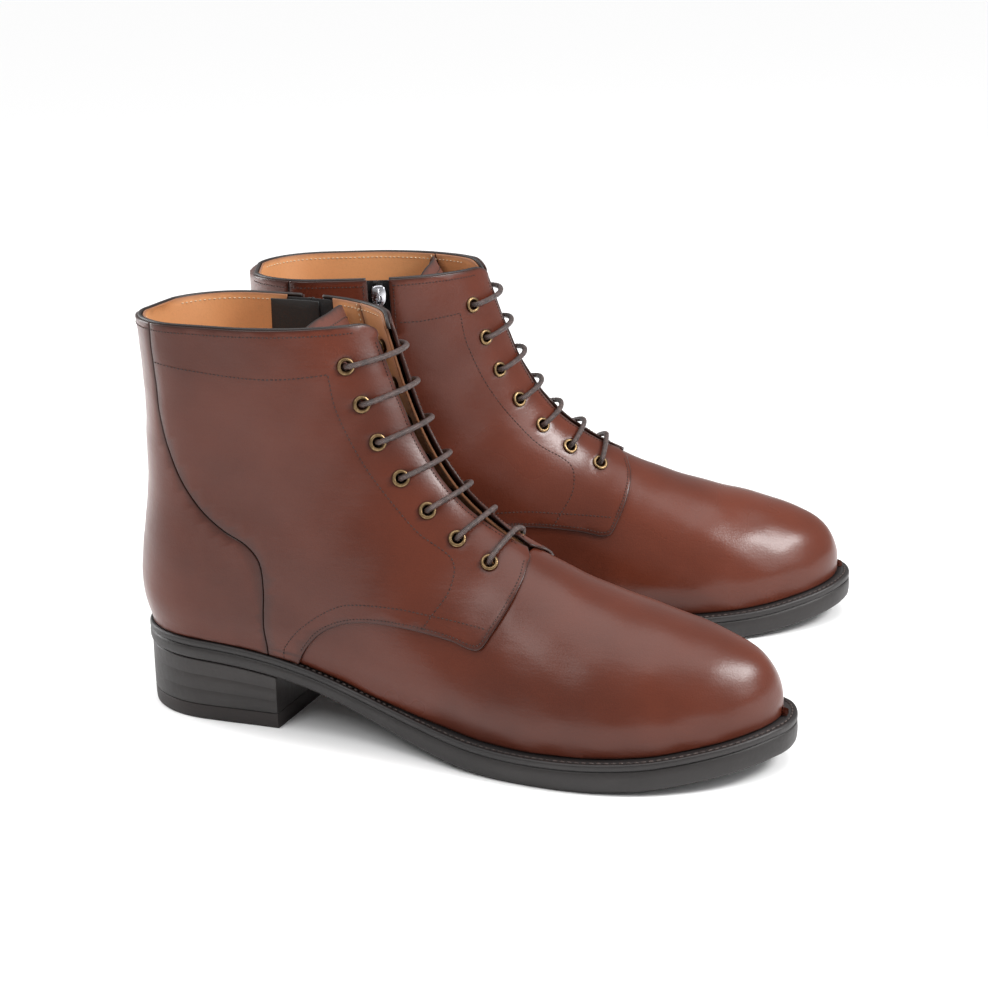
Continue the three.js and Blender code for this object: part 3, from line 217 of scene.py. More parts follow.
def foot_turn(s):
    """Turn at which the section s meets the welt."""
    low, high = np.full_like(s, 0.05), np.full_like(s, math.pi)
    for _ in range(30):
        a = (low + high) / 2
        p = position(s, a)
        inside = p[..., 2] > feather(p[..., 0]) - 0.2
        low, high = np.where(inside, a, low), np.where(inside, high, a)
    return low


def run(points, side, step=1.2):
    """[x, z] points as (s, v) on one side, kept between the ridge and the welt."""
    p = dense(points, step)
    s, a = locate(p[:, 0], p[:, 1])
    x = position(s, a)
    keep = (p[:, 1] > feather(p[:, 0]) - 0.2) & (np.hypot(x[:, 0] - p[:, 0], x[:, 2] - p[:, 1]) < 0.4)
    return np.c_[s[keep], side * a[keep]]


S_TABLE = np.linspace(0, END, 4000)
RISE = S_TABLE[1500:]      # where the ridge climbs, so that height gives the section
Q_TABLE = end_q(S_TABLE)


def station(q):
    return np.interp(q, Q_TABLE, S_TABLE)


def ridge_station(z):
    return np.interp(z, ridge_z(RISE), RISE)


def ridge_front(z):
    return np.interp(z, ridge_z(RISE), ridge_x(RISE))


def feather_run(x0, x1, side, step=1.5):
    x = np.linspace(x0, x1, max(3, int(abs(x1 - x0) / step) + 1))
    s, _ = locate(x, feather(x) - 0.2)
    return np.c_[s, side * foot_turn(s)]


THROAT = 85
throat_half = spline([(THROAT, 0.8), (92, 3.2), (104, 5.4), (125, 6.4), (150, 7), (TOP, 8.5)])


def throat_run(side, extra, z0, z1, step=1.2):
    """The edge beside the lacing gap, from height z0 to z1."""
    z = np.linspace(z0, z1, max(3, int(abs(z1 - z0) / step) + 1))
    s = ridge_station(z)
    for _ in range(8):
        low, high = np.zeros_like(z), np.full_like(z, 1.2)
        for _ in range(25):
            a = (low + high) / 2
            inside = np.abs(position(s, a)[:, 1]) < throat_half(z) + extra
            low, high = np.where(inside, a, low), np.where(inside, high, a)
        s = s + (z - position(s, a)[:, 2]) * 0.8
    return np.c_[s, side * a]


# ---- meshes --------------------------------------------------------------------------
class Shape:
    """Vertices, faces and one value per vertex, in the right boot's frame."""

    def __init__(self):
        self.verts, self.faces, self.values, self.count = [], [], [], 0

    def add(self, verts, faces, value=0.0):
        verts = np.asarray(verts, float)
        self.verts.append(verts)
        self.faces.extend([tuple(int(i) + self.count for i in f) for f in faces])
        self.values.append(np.broadcast_to(np.asarray(value, float), (len(verts),)))
        self.count += len(verts)
        return self


def grid_faces(rows, cols, ring=False, start=0):
    """Faces between rows of points that close on themselves; ring also joins the last row to the first."""
    faces = []
    for i in range(rows if ring else rows - 1):
        a, b = start + i * cols, start + (i + 1) % rows * cols
        faces += [(a + j, a + (j + 1) % cols, b + (j + 1) % cols, b + j) for j in range(cols)]
    return faces


def inside_loops(points, loops):
    hit = np.zeros(len(points), bool)
    px, py = points[:, 0][:, None], points[:, 1][:, None]
    for loop in loops:
        a, b = loop, np.roll(loop, -1, axis=0)
        for k in range(0, len(a), 400):
            ax, ay, bx, by = a[k:k + 400, 0], a[k:k + 400, 1], b[k:k + 400, 0], b[k:k + 400, 1]
            cross = (ay[None] > py) != (by[None] > py)
            with np.errstate(divide="ignore", invalid="ignore"):
                at = (bx - ax)[None] * (py - ay[None]) / (by - ay)[None] + ax[None]
            hit ^= (np.sum(cross & (px < at), axis=1) % 2).astype(bool)
    return hit


def clean(loop, least=0.35):
    kept = [loop[0]]
    for p in loop[1:]:
        if np.hypot(*(p - kept[-1])) > least:
            kept.append(p)
    if np.hypot(*(kept[0] - kept[-1])) < least:
        kept.pop()
    return np.array(kept)


TURN = 24          # mm per radian in the flat layout of a patch
SEAM_UNIT = 130
WEDGE = 60


def flat_ridge(sv):
    return np.c_[sv[:, 0], sv[:, 1] * TURN]


def curved_ridge(uv):
    return uv[:, 0], uv[:, 1] / TURN


def flat_seam(sv):
    q = end_q(sv[:, 0])
    side = np.where(sv[:, 1] < 0, -1, 1)
    return np.c_[q * SEAM_UNIT, side * ((math.pi - np.abs(sv[:, 1])) * TURN + np.maximum(0, 1 - q) * WEDGE)]


def curved_seam(uv):
    q = uv[:, 0] / SEAM_UNIT
    side = np.where(uv[:, 1] < 0, -1, 1)
    a = math.pi - (np.abs(uv[:, 1]) - np.maximum(0, 1 - q) * WEDGE) / TURN
    return station(q), side * np.clip(a, 0, math.pi)


def patch(outline, inner, outer, holes=(), seam=False, step=2.2, r=ROUND, uneven=True):
    """A sheet of leather with rounded edges. outline and holes are (s, v) loops; inner and outer are offsets from
    the last, numbers or functions of s."""
    shape = Shape()
    flat, curved = (flat_seam, curved_seam) if seam else (flat_ridge, curved_ridge)
    loops = [clean(flat(loop)) for loop in (outline, *holes)]
    low, high = loops[0].min(axis=0), loops[0].max(axis=0)
    u = np.arange(low[0] + step / 2, high[0], step)
    v = np.arange(low[1] + step / 2, high[1], step)
    grid = np.array([(a + (step / 2 if j % 2 else 0), b) for j, b in enumerate(v) for a in u])
    grid = grid[inside_loops(grid, loops)]
    rim = np.concatenate(loops)
    near = np.full(len(grid), 1e9)
    for k in range(0, len(rim), 200):
        d = np.hypot(grid[:, 0][:, None] - rim[k:k + 200, 0][None], grid[:, 1][:, None] - rim[k:k + 200, 1][None])
        near = np.minimum(near, d.min(axis=1))
    grid = grid[near > 0.62 * step]
    points = np.concatenate([rim, grid])
    edges, start = [], 0
    for loop in loops:
        n = len(loop)
        edges += [(start + i, start + (i + 1) % n) for i in range(n)]
        start += n
    out, _, faces, origin, _, _ = delaunay_2d_cdt([Vector(p) for p in points], edges, [], 0, 1e-5)
    index = [o[0] if o else -1 for o in origin]
    extra = [i for i, o in enumerate(index) if o < 0]
    if extra:
        points = np.concatenate([points, np.array([tuple(out[i]) for i in extra])])
        for k, i in enumerate(extra):
            index[i] = len(points) - len(extra) + k
    tri = np.array([[index[i] for i in f] for f in faces])
    tri = tri[inside_loops(points[tri].mean(axis=1), loops)]
    s, turn = curved(points)
    base = position(s, turn)
    n = normal(s, turn)
    d0, d1 = (d(s) if callable(d) else np.full(len(s), float(d)) for d in (inner, outer))
    if uneven:
        d1 = d1 + ripple(base)
    base = base - n * INSET
    a, b, c = (base[tri[:, k]] for k in range(3))
    facing = np.sum(np.cross(b - a, c - a) * n[tri[:, 0]], axis=1)
    tri = np.where((facing < 0)[:, None], tri[:, ::-1], tri)
    top, bottom = base + n * d1[:, None], base + n * d0[:, None]
    value = np.zeros(len(points))
    start = 0
    walls = []
    for loop in loops:
        m = len(loop)
        i = np.arange(start, start + m)
        p, pn = base[i], n[i]
        t = np.roll(p, -1, axis=0) - np.roll(p, 1, axis=0)
        inward = unit(np.cross(pn, t))
        probe = flat_normal(loop, loops)
        s2, t2 = curved(loop + probe * 0.4)
        hint = position(s2, t2) - n[i] * INSET - p
        sign = np.sign(np.sum(hint * inward))
        inward *= sign if sign else 1
        h1, h0 = d1[i][:, None], d0[i][:, None]
        rr = np.minimum(r, (h1 - h0) * 0.45)
        top[i] = p + inward * rr + pn * h1
        ring1 = p + inward * rr * 0.29 + pn * (h1 - rr * 0.29)
        ring2 = p + pn * (h1 - rr)
        ring3 = p + inward * rr * 0.29 + pn * (h0 + rr * 0.29)
        bottom[i] = p + inward * rr + pn * h0
        # The rim value darkens the cut edge and fades onto the faces beside it: partly edge dye, partly painted
        # shade.
        value[i] = 0.6
        walls.append((i, ring1, ring2, ring3))
        start += m
    total = len(points)
    shape.add(top, tri, value)
    shape.add(bottom, tri[:, ::-1], value)
    for i, ring1, ring2, ring3 in walls:
        m = len(i)
        k = shape.count
        shape.add(np.concatenate([ring1, ring2, ring3]), [], 1.0)
        rows = [i, np.arange(m) + k, np.arange(m) + k + m, np.arange(m) + k + 2 * m, i + total]
        # The sheet's own edge between the first two points tells which way round the walls go.
        flip = (int(i[0]), int(i[1])) in edges_at(tri, i[0])
        for upper, lower in zip(rows[:-1], rows[1:]):
            for j in range(m):
                f = (upper[j], upper[(j + 1) % m], lower[(j + 1) % m], lower[j])
                shape.faces.append(tuple(int(q) for q in (f[::-1] if flip else f)))
    return shape


def edges_at(tri, point):
    """Directed edges of the triangles that touch a point."""
    near = tri[np.any(tri == point, axis=1)]
    return {(int(f[k]), int(f[(k + 1) % 3])) for f in near for k in range(3)}


def flat_normal(loop, loops):
    """Directions into the sheet at a loop's points, in the flat layout."""
    t = np.roll(loop, -1, axis=0) - np.roll(loop, 1, axis=0)
    n = np.c_[-t[:, 1], t[:, 0]] / np.maximum(np.hypot(t[:, 0], t[:, 1])[:, None], 1e-9)
    inside = inside_loops(loop + n * 0.05, loops)
    return n if inside.mean() > 0.5 else -n


def frames(path):
    """Two crosswise directions along a path, turning as little as possible."""
    t = unit(np.gradient(path, axis=0))
    a = [unit(np.cross(t[0], (0, 0, 1) if abs(t[0][2]) < 0.9 else (1, 0, 0)))]
    for way in t[1:]:
        a.append(square_to(a[-1], way))
    return np.array(a), np.cross(t, a)


def tube(path, radius, sides, shape):
    """A closed round bar along a path. radius is one number, or one for each point and side."""
    a, b = frames(path)
    turn = np.linspace(0, 2 * math.pi, sides, endpoint=False)[:, None]
    ring = a[:, None] * np.cos(turn) + b[:, None] * np.sin(turn)
    verts = path[:, None] + ring * np.broadcast_to(radius, ring.shape[:2])[..., None]
    n = len(path) * sides
    shape.add(verts.reshape(-1, 3),
              grid_faces(len(path), sides) + [tuple(range(sides))[::-1], tuple(range(n - sides, n))])


def resample(path, step):
    path = np.asarray(path, float)
    t = np.concatenate([[0], np.cumsum(np.linalg.norm(np.diff(path, axis=0), axis=1))])
    u = np.linspace(0, t[-1], max(2, int(round(t[-1] / step)) + 1))
    return np.stack([np.interp(u, t, path[:, k]) for k in range(3)], -1)


STITCH_RINGS = ((0.16, 0.75), (0.5, 1.0), (0.84, 0.75))      # share of a stitch's length, share of its radius
STITCH_SIDES = 6


def stitches(path, up, pitch, radius, shape, share=0.74, lift=0.0):
    """Separate thread stitches along a path; up gives the surface's direction at its points."""
    t = np.concatenate([[0], np.cumsum(np.linalg.norm(np.diff(path, axis=0), axis=1))])
    n = max(1, int(t[-1] / pitch))
    turn = 2 * math.pi * np.arange(STITCH_SIDES)[:, None] / STITCH_SIDES
    last = 1 + 3 * STITCH_SIDES
    faces = grid_faces(3, STITCH_SIDES, start=1)
    for k in range(STITCH_SIDES):
        after = (k + 1) % STITCH_SIDES
        faces += [(0, 1 + after, 1 + k), (last - STITCH_SIDES + k, last - STITCH_SIDES + after, last)]

    def at(rows, where):
        return np.array([np.interp(where, t, rows[:, k]) for k in range(3)])

    for i in range(n):
        mid = (i + 0.5) * t[-1] / n
        p0, p1 = at(path, mid - pitch * share / 2), at(path, mid + pitch * share / 2)
        way = p1 - p0
        if np.linalg.norm(way) < 1e-6:
            continue
        u = square_to(at(up, mid), unit(way))
        w = np.cross(unit(way), u)
        verts = [p0 + u * (lift - radius / 2)]
        for f, g in STITCH_RINGS:
            verts.extend(p0 + way * f + (u * np.cos(turn) + w * np.sin(turn)) * radius * g
                         + u * (lift - radius * (1 - g) / 2))
        shape.add(verts + [p1 + u * (lift - radius / 2)], faces)


def seam_path(sv, offset, inward=False):
    """Points and directions of a line sewn on the leather at an offset from the last."""
    s, v = sv[:, 0], sv[:, 1]
    n = normal(s, v)
    p = position(s, v)
    rise = np.asarray(offset) - INSET + (0 if inward else ripple(p))
    return p + n * rise[:, None], (-n if inward else n)


# ---- materials -----------------------------------------------------------------------
def linear(rgb):
    c = np.array(rgb, float) / 255
    return tuple(np.where(c <= 0.04045, c / 12.92, ((c + 0.055) / 1.055) ** 2.4)) + (1.0,)


def material(name, colour, second, rough, spread, grain, grain_size, blotch, metallic=0.0, edge=None,
             coat=0.0,
             sheen=0.0, crease=0.0, fibre=0.0, specular=0.5):
    """A procedural finish: two tones over large blotches, fine grain as bump, dark edges that are partly edge dye
    and partly painted shade along cut edges and seams.
    """
    mat = bpy.data.materials.new(name)
    mat.use_nodes = True
    nodes, links = mat.node_tree.nodes, mat.node_tree.links
    shader = nodes["Principled BSDF"]
    place = nodes.new("ShaderNodeTexCoord").outputs["Object"]

    def wire(socket, value):
        if isinstance(value, bpy.types.NodeSocket):
            links.new(value, socket)
        else:
            socket.default_value = value

    def node(kind, **values):
        made = nodes.new("ShaderNode" + kind)
        for key, value in values.items():
            wire(made.inputs[key.replace("_", " ")], value)
        return made

    def noise(vector, scale, detail, roughness=0.5):
        return node("TexNoise", Vector=vector, Scale=scale, Detail=detail, Roughness=roughness).outputs["Fac"]

    def ramp(source, low, high, start=0.35, stop=0.65):
        return node("MapRange", Value=source, From_Min=start, From_Max=stop, To_Min=low,
                    To_Max=high).outputs["Result"]

    def blend(amount, a, b):
        made = nodes.new("ShaderNodeMix")
        made.data_type = "RGBA"
        for key, value in (("Factor", amount), ("A", a), ("B", b)):
            wire(made.inputs[key], value)
        return made.outputs["Result"]

    def bump(height, strength, distance, under):
        made = node("Bump", Height=height, Strength=strength, Distance=distance)
        if under:
            links.new(under, made.inputs["Normal"])
        return made.outputs["Normal"]

    broad = noise(place, blotch, 3)
    fine = noise(place, grain, 6, 0.62)
    tone = blend(ramp(broad, 0, 1), linear(colour), linear(second))
    tone = blend(ramp(fine, 0, 0.22, 0.5, 0.8), tone, linear([c * 0.72 for c in second]))
    # The edge colour, mixed in by the rim value, is partly edge dye and partly painted shade along cut edges and
    # seams.
    if edge is not None:
        rim = nodes.new("ShaderNodeAttribute")
        rim.attribute_name = "rim"
        tone = blend(ramp(rim.outputs["Fac"], 0, 1, 0.25, 0.8), tone, linear(edge))
    pores = node("TexVoronoi", Vector=place, Scale=grain * 0.9).outputs["Distance"]
    surface = bump(pores, 0.35, grain_size, bump(fine, 0.6, grain_size, None))
    if crease:
        folds = node("Mapping", Vector=place, Scale=(0.35, 1.0, 1.6)).outputs["Vector"]
        surface = bump(noise(folds, 120, 3, 0.6), 0.5, crease, surface)
    if fibre:
        weave = node("TexWave", Vector=place, Scale=fibre, Distortion=0.6)
        weave.bands_direction = "DIAGONAL"
        surface = bump(weave.outputs["Fac"], 0.7, 0.0002, surface)
    for key, value in (("Base Color", tone), ("Roughness", ramp(broad, rough - spread, rough + spread, 0.3, 0.7)),
                       ("Normal", surface), ("Metallic", metallic), ("Specular IOR Level", specular),
                       ("Coat Weight", coat), ("Coat Roughness", 0.28), ("Sheen Weight", sheen)):
        wire(shader.inputs[key], value)
    return mat


CALF = material("calf_leather", (93, 43, 28), (76, 33, 20), 0.3, 0.05, 1300,
                0.00006, 14, edge=(50, 25, 19),
                coat=0.12, crease=0.0003, specular=0.28)
TONGUE_CALF = material("tongue_leather", (104, 56, 44), (88, 46, 35), 0.5, 0.06,
                       1300, 0.00006, 20, edge=(30, 18, 15))
TAN = material("lining_leather", (212, 150, 98), (200, 136, 84), 0.62, 0.06,
               1000, 0.00005, 18, edge=(140, 90, 56),
               sheen=0.08)
BLACK = material("black_leather", (34, 31, 31), (25, 23, 23), 0.55, 0.07, 1100,
                 0.00007, 20, edge=(14, 12, 12))
PIPING = material("edge_dye", (40, 30, 28), (30, 23, 22), 0.5, 0.06, 900, 0.00006, 30)
WELT = material("welt", (30, 25, 24), (22, 18, 18), 0.5, 0.08, 700, 0.00012, 30,
                edge=(30, 27, 27))
SOLE = material("sole_edge", (29, 24, 23), (22, 18, 17), 0.52, 0.07, 520, 0.00016, 24)
HEEL = material("heel_stack", (33, 27, 25), (24, 19, 18), 0.5, 0.07, 420, 0.00018, 26)
RUBBER = material("top_piece_rubber", (34, 26, 24), (26, 20, 19), 0.68, 0.06, 600, 0.00014, 24)
THREAD = material("thread_dark", (44, 26, 21), (60, 36, 29), 0.6, 0.06, 2600,
                  0.00012, 300, fibre=900)
CREAM = material("thread_cream", (226, 204, 172), (208, 184, 150), 0.65, 0.06,
                 2600, 0.00012, 300, fibre=900)
WELT_THREAD = material("thread_welt", (84, 72, 68), (62, 52, 49), 0.62, 0.06, 2600,
                       0.00012, 300, fibre=900)
LACE = material("waxed_lace", (78, 60, 56), (50, 39, 37), 0.42, 0.08, 1800, 0.00012,
                420, coat=0.15, fibre=620)
BRASS = material("antique_brass", (142, 118, 86), (102, 82, 58), 0.4, 0.08, 900,
                 0.00005, 500, metallic=1.0)
STEEL = material("bright_steel", (196, 196, 200), (176, 176, 182), 0.24, 0.06, 1400,
                 0.00003, 300, metallic=1.0)
TAPE = material("zip_tape", (30, 28, 29), (22, 21, 22), 0.85, 0.05, 1600, 0.0001, 60, fibre=1100)
TEETH = material("zip_teeth", (44, 42, 42), (34, 32, 32), 0.4, 0.06, 1400, 0.00004, 80)
BOARD = material("fibre_board", (168, 132, 94), (146, 112, 78), 0.85, 0.05, 500, 0.0003, 40)


# ---- putting pieces in the frame -----------------------------------------------------
def to_row(points, boot):
    px, py, yaw, flip = PLACES[boot]
    p = np.asarray(points, float).reshape(-1, 3).copy()
    p[:, 1] *= flip
    p[:, 0] -= PIVOT
    c, s = math.cos(math.radians(yaw)), math.sin(math.radians(yaw))
    x, y = p[:, 0] * c - p[:, 1] * s, p[:, 0] * s + p[:, 1] * c
    return np.c_[x + px - MIDDLE[0], y + py - MIDDLE[1], p[:, 2]] / 1000


def put(boot, name, shape, mat, body, also, sharp):
    verts = to_row(np.concatenate(shape.verts), boot)
    faces = shape.faces if PLACES[boot][3] > 0 else [f[::-1] for f in shape.faces]
    mesh = bpy.data.meshes.new(f"{boot}_{name}_look")
    mesh.from_pydata(verts.tolist(), [], faces)
    mesh.validate()
    mesh.shade_smooth()
    if sharp:
        mesh.set_sharp_from_angle(angle=math.radians(sharp))
    attribute = mesh.attributes.new("rim", "FLOAT", "POINT")
    attribute.data.foreach_set("value", np.concatenate(shape.values).astype(np.float32))
    mesh.materials.append(mat)
    obj = bpy.data.objects.new(f"{boot}_{name}_look", mesh)
    bpy.context.scene.collection.objects.link(obj)
    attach(obj, f"{boot}_{body}")
    nodes = [f"{boot}_{n}" for n in (name, *also) if f"{boot}_{n}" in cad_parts]
    if nodes:
        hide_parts(*nodes)


pieces = []


def piece(name, shape, mat, body="boot", also=(), sharp=None):
    """A piece of both boots; it replaces the CAD node of its own name, where there is one, and those in also."""
    pieces.append((name, shape, mat, body, also, sharp))


# ---- seams of the upper, seen from the side ------------------------------------------
BACK_SEAM = {-1: [(74.5, 30), (74, 50), (75, 65.5), (73.7, 78.6), (68, 86), (56.5, 92), (44.8, 101.8),
                  (36.7, 114.1),
                  (30.6, 130.2), (28.2, 151), (28.2, TOP)],
             1: [(66, 30), (65.5, 50), (65.5, 65), (64, 76), (60, 84), (53, 92), (44, 102), (36.7, 114.1),
                 (30.6, 130.2), (28.2, 151), (28.2, TOP)]}
QUARTER_FRONT = [(87.5, 28), (92.9, 38.5), (102.3, 49), (114, 55), (126, 57.4), (143.5, 57.2), (165, 54.6),
                 (179, 52.5),
                 (184.5, 60), (189.5, 70), (192, 79), (191, 84.6)]
VAMP_REAR = [(78, 28), (84, 46), (96, 58), (112, 64.5), (140, 66.5), (162, 63), (176, 66), (184, 75), (188, 86)]
EYELETS = [(176.5, 84.5), (161.5, 93.5), (148, 105), (136.5, 118.8), (127, 134.5), (120.5, 151), (114.5, 167.5)]
VAMP_OUT, QUARTER_OUT = 1.4, 3.0
LINING_OUT, LINING_IN = -0.3, -1.3
FACING_OUT, FACING_IN = 0.0, -1.3
HOLE_RADIUS = 2.9
ZIP_LOW, TAPE_LOW = 60, 52
ZIP_FOOT_X, ZIP_TOP_X = 75, 70
SLOT_HALF, LINING_SLOT = 5, 12.3


def zip_x(z):
    return mix(ZIP_FOOT_X, ZIP_TOP_X, (np.asarray(z, float) - ZIP_LOW) / (TOP - ZIP_LOW))


def shift(points, distance):
    p = np.array(points, float)
    t = np.gradient(p, axis=0)
    t /= np.hypot(t[:, 0], t[:, 1])[:, None]
    return p + np.c_[-t[:, 1], t[:, 0]] * distance


def top_run(x0, x1, side, step=1.5):
    return run([(x0, TOP), (x1, TOP)], side, step)


front_top = float(ridge_front(TOP))


def corner_run(side, extra=0.0):
    """From the facing edge round the corner onto the top line."""
    start = throat_run(side, extra, TOP - 8, TOP - 7)[-1:]
    p = position(start[:, 0], start[:, 1])[0]
    angle = np.linspace(0, math.pi / 2, 9)[1:]
    x = front_top - 5 - extra + (p[0] - front_top + 5 + extra) * np.cos(angle)
    z = TOP - 7 + 7 * np.sin(angle)
    s, a = locate(x, z)
    return np.c_[s, side * a]


def quarter_outline(side):
    front = run(QUARTER_FRONT, side)
    throat = throat_run(side, 0, 87.2, TOP - 7)
    corner = corner_run(side)
    seam = run(shift(BACK_SEAM[side], -GAP)[::-1], side)
    foot = feather_run(BACK_SEAM[side][0][0] + 0.5, 89.3, side)
    if side < 0:
        top = top_run(front_top - 5.5, 28.6, side)
        return np.concatenate([front, throat, corner, top, seam, foot])
    low = ZIP_LOW + 3
    low_x = zip_x(low)
    turn = np.linspace(0, math.pi, 9)
    bend = run(np.c_[low_x + SLOT_HALF * np.cos(turn), low - 4 * np.sin(turn)], side, 1.0)
    slot_front = run([(ZIP_TOP_X + SLOT_HALF, TOP), (low_x + SLOT_HALF, low)], side)
    slot_rear = run([(low_x - SLOT_HALF, low), (ZIP_TOP_X - SLOT_HALF, TOP)], side)
    return np.concatenate([front, throat, corner, top_run(front_top - 5.5, ZIP_TOP_X + SLOT_HALF, side),
            slot_front,
                           bend, slot_rear, top_run(ZIP_TOP_X - SLOT_HALF, 28.6, side), seam, foot])


def hole(at, side, radius, count=20):
    """A round hole through the leather, as an (s, v) loop."""
    s, a = (float(q) for q in locate(*at))
    v = side * a
    ds = (position(s + 0.5, v) - position(s - 0.5, v))
    dv = (position(s, v + 0.02) - position(s, v - 0.02)) / 0.04
    e1 = unit(ds)
    e2 = square_to(dv, e1)
    m = np.array([[np.dot(ds, e1), np.dot(dv, e1)], [np.dot(ds, e2), np.dot(dv, e2)]])
    turn = np.linspace(0, 2 * math.pi, count, endpoint=False)
    step = np.linalg.solve(m, radius * np.array([np.cos(turn), np.sin(turn)]))
    return np.c_[s + step[0], v + step[1]]


def beside_ridge(s0, s1, distance, side, step=1.5):
    """A run at a set distance down the sections from the ridge."""
    s = np.linspace(s0, s1, max(3, int(abs(s1 - s0) / step) + 1))
    ex, ez = section_end(end_q(s))
    c = distance / np.hypot(ex - ridge_x(s), ez - ridge_z(s))
    return np.c_[s, side * np.arccos(1 - 2 * np.clip(c, 0, 1))]


def top_station(distance, side, z=TOP):
    """Section at which the run at that distance from the ridge reaches height z."""
    sv = beside_ridge(RL[9], END, distance, side, 0.3)
    p = position(sv[:, 0], sv[:, 1])
    return float(np.interp(z, p[:, 2], sv[:, 0]))


# Vamp and its lining.
rear = run(VAMP_REAR, -1)
left_foot = feather_run(80.4, 186, -1)
right_foot = feather_run(186, 80.4, 1)


def vamp_outline(tip):
    """Round the toe along the welt and back over the rear edge; tip is the section where the two sides meet."""
    s = np.arange(float(locate(186.5, feather(186.5))[0]), tip, -1.0)
    toe = np.c_[s, -foot_turn(s)]
    return np.concatenate([left_foot, toe, np.c_[toe[::-1, 0], -toe[::-1, 1]], right_foot,
                           np.c_[rear[:, 0], -rear[:, 1]], rear[::-1]])


piece("vamp", patch(vamp_outline(0.3), 0.0, VAMP_OUT), CALF)
piece("vamp_lining", patch(vamp_outline(14), LINING_IN, LINING_OUT, step=3, uneven=False), TAN)

# Quarters, lying over the vamp in front and meeting the back panel behind.
for side, name, also in ((-1, "lateral", ()), (1, "medial", ("medial_rear_quarter",))):
    holes = [hole(at, side, HOLE_RADIUS) for at in EYELETS]
    piece(f"{name}_quarter", patch(quarter_outline(side), 1.5, QUARTER_OUT, holes), CALF, also=also)

# Back panel round the heel.
panel = np.concatenate([run(BACK_SEAM[-1], -1), top_run(27.5, 11, -1), top_run(11, 27.5, 1),
                        run(BACK_SEAM[1][::-1], 1), feather_run(65, 4.2, 1), feather_run(4.2, 73.5, -1)])
piece("back_panel", patch(panel, 1.2, QUARTER_OUT, seam=True), CALF)

# Linings of the shaft.
LINING_REAR = [(x + 2, z) for x, z in VAMP_REAR[:7]]


def lining_front(side):
    return beside_ridge(RL[7] + 4, top_station(22.6, side), 22.6, side)


low_front = position(*lining_front(-1)[0])
lining_low = [p for p in LINING_REAR if p[0] < low_front[0] - 4] + [(low_front[0], low_front[2])]
lateral_front = lining_front(-1)
lx = float(position(*lateral_front[-1])[0])
quarter_lining = np.concatenate([
    run(lining_low, -1), lateral_front, top_run(lx - 1, 10, -1), top_run(10, ZIP_TOP_X - LINING_SLOT, 1),
    run([(ZIP_TOP_X - LINING_SLOT, TOP), (zip_x(TAPE_LOW) - LINING_SLOT, TAPE_LOW)], 1),
    run([(zip_x(TAPE_LOW) - LINING_SLOT + 1, TAPE_LOW - 0.3), (zip_x(TAPE_LOW), TAPE_LOW - 0.3),
         (zip_x(38), 30)], 1),
    feather_run(74, 4.2, 1), feather_run(4.2, 80.5, -1)])
piece("quarter_lining", patch(quarter_lining, LINING_IN, LINING_OUT, seam=True, step=2.6, uneven=False), TAN)
medial_lining = np.concatenate([
    run(lining_low, 1), lining_front(1), top_run(lx - 1, ZIP_TOP_X + LINING_SLOT, 1),
    run([(ZIP_TOP_X + LINING_SLOT, TOP), (zip_x(TAPE_LOW) + LINING_SLOT, TAPE_LOW)], 1),
    run([(zip_x(TAPE_LOW) + LINING_SLOT - 1, TAPE_LOW - 0.3), (zip_x(TAPE_LOW) + 1, TAPE_LOW - 0.3),
         (zip_x(38) + 1, 30)], 1)])
piece("medial_lining", patch(medial_lining, LINING_IN, LINING_OUT, step=2.6, uneven=False), TAN)

# Facings behind the eyelets.
for side, name in ((-1, "lateral"), (1, "medial")):
    throat = throat_run(side, 0.6, 88, TOP - 7)
    back = beside_ridge(top_station(22, side), RL[7] + 2, 22, side)
    lower = np.linspace(back[-1], throat[0], 12)[1:-1]
    fx = float(position(*back[0])[0])
    outline = np.concatenate([throat, corner_run(side, 0.6), top_run(front_top - 7, fx + 1, side), back, lower])
    holes = [hole(at, side, HOLE_RADIUS) for at in EYELETS[1:]]
    piece(f"{name}_facing", patch(outline, FACING_IN, FACING_OUT, holes, step=2.6, uneven=False), TAN)


# Tongue, black below and brown where it shows above.
def tongue_out(s):
    return -1.6 - 5.6 * smooth((s - RL[7] + 6) / 16) - 4 * smooth((s - RL[10]) / (END - RL[10]))


TONGUE_TOP = TOP - 6
s_top = float(ridge_station(TONGUE_TOP))


def tongue_band(s0, s1):
    left = beside_ridge(s0, s1, 30, -1)
    across = np.linspace(left[-1][1], -left[-1][1], 30)[1:-1]
    bow = 1 - (across / left[-1][1]) ** 2
    top = np.c_[s1 + 2.5 * bow, across]
    right = np.c_[left[::-1, 0], -left[::-1, 1]]
    across0 = np.linspace(right[-1][1], left[0][1], 30)[1:-1]
    return np.concatenate([left, top, right, np.c_[np.full(28, s0), across0]])


TONGUE_JOIN = RL[11]


def leaning(shape):
    """The tongue's upper part leans back into the shaft and flattens."""
    for i, p in enumerate(shape.verts):
        x, y, z = p[:, 0], p[:, 1], p[:, 2]
        share = np.clip((z - 108) / 70, 0, 1.1) ** 2.6
        front = ridge_front(z)
        wide = y * (1 + 0.45 * share)
        lean = front - 31 + (x - front) * 0.1 - 0.16 * wide
        shape.verts[i] = np.c_[mix(x, lean, share), wide, z + 13 * share]
    return shape


lower_tongue = patch(tongue_band(RL[7] - 14, s_top - 3.8), lambda s: tongue_out(s) - 1.6, tongue_out, step=2.6,
                     uneven=False)
piece("tongue", leaning(lower_tongue), BLACK)
upper_tongue = patch(tongue_band(TONGUE_JOIN - 4, s_top - 3), lambda s: tongue_out(s) + 0.04,
                     lambda s: tongue_out(s) + 1.2, step=2.4)
piece("tongue_top", leaning(upper_tongue), TONGUE_CALF)


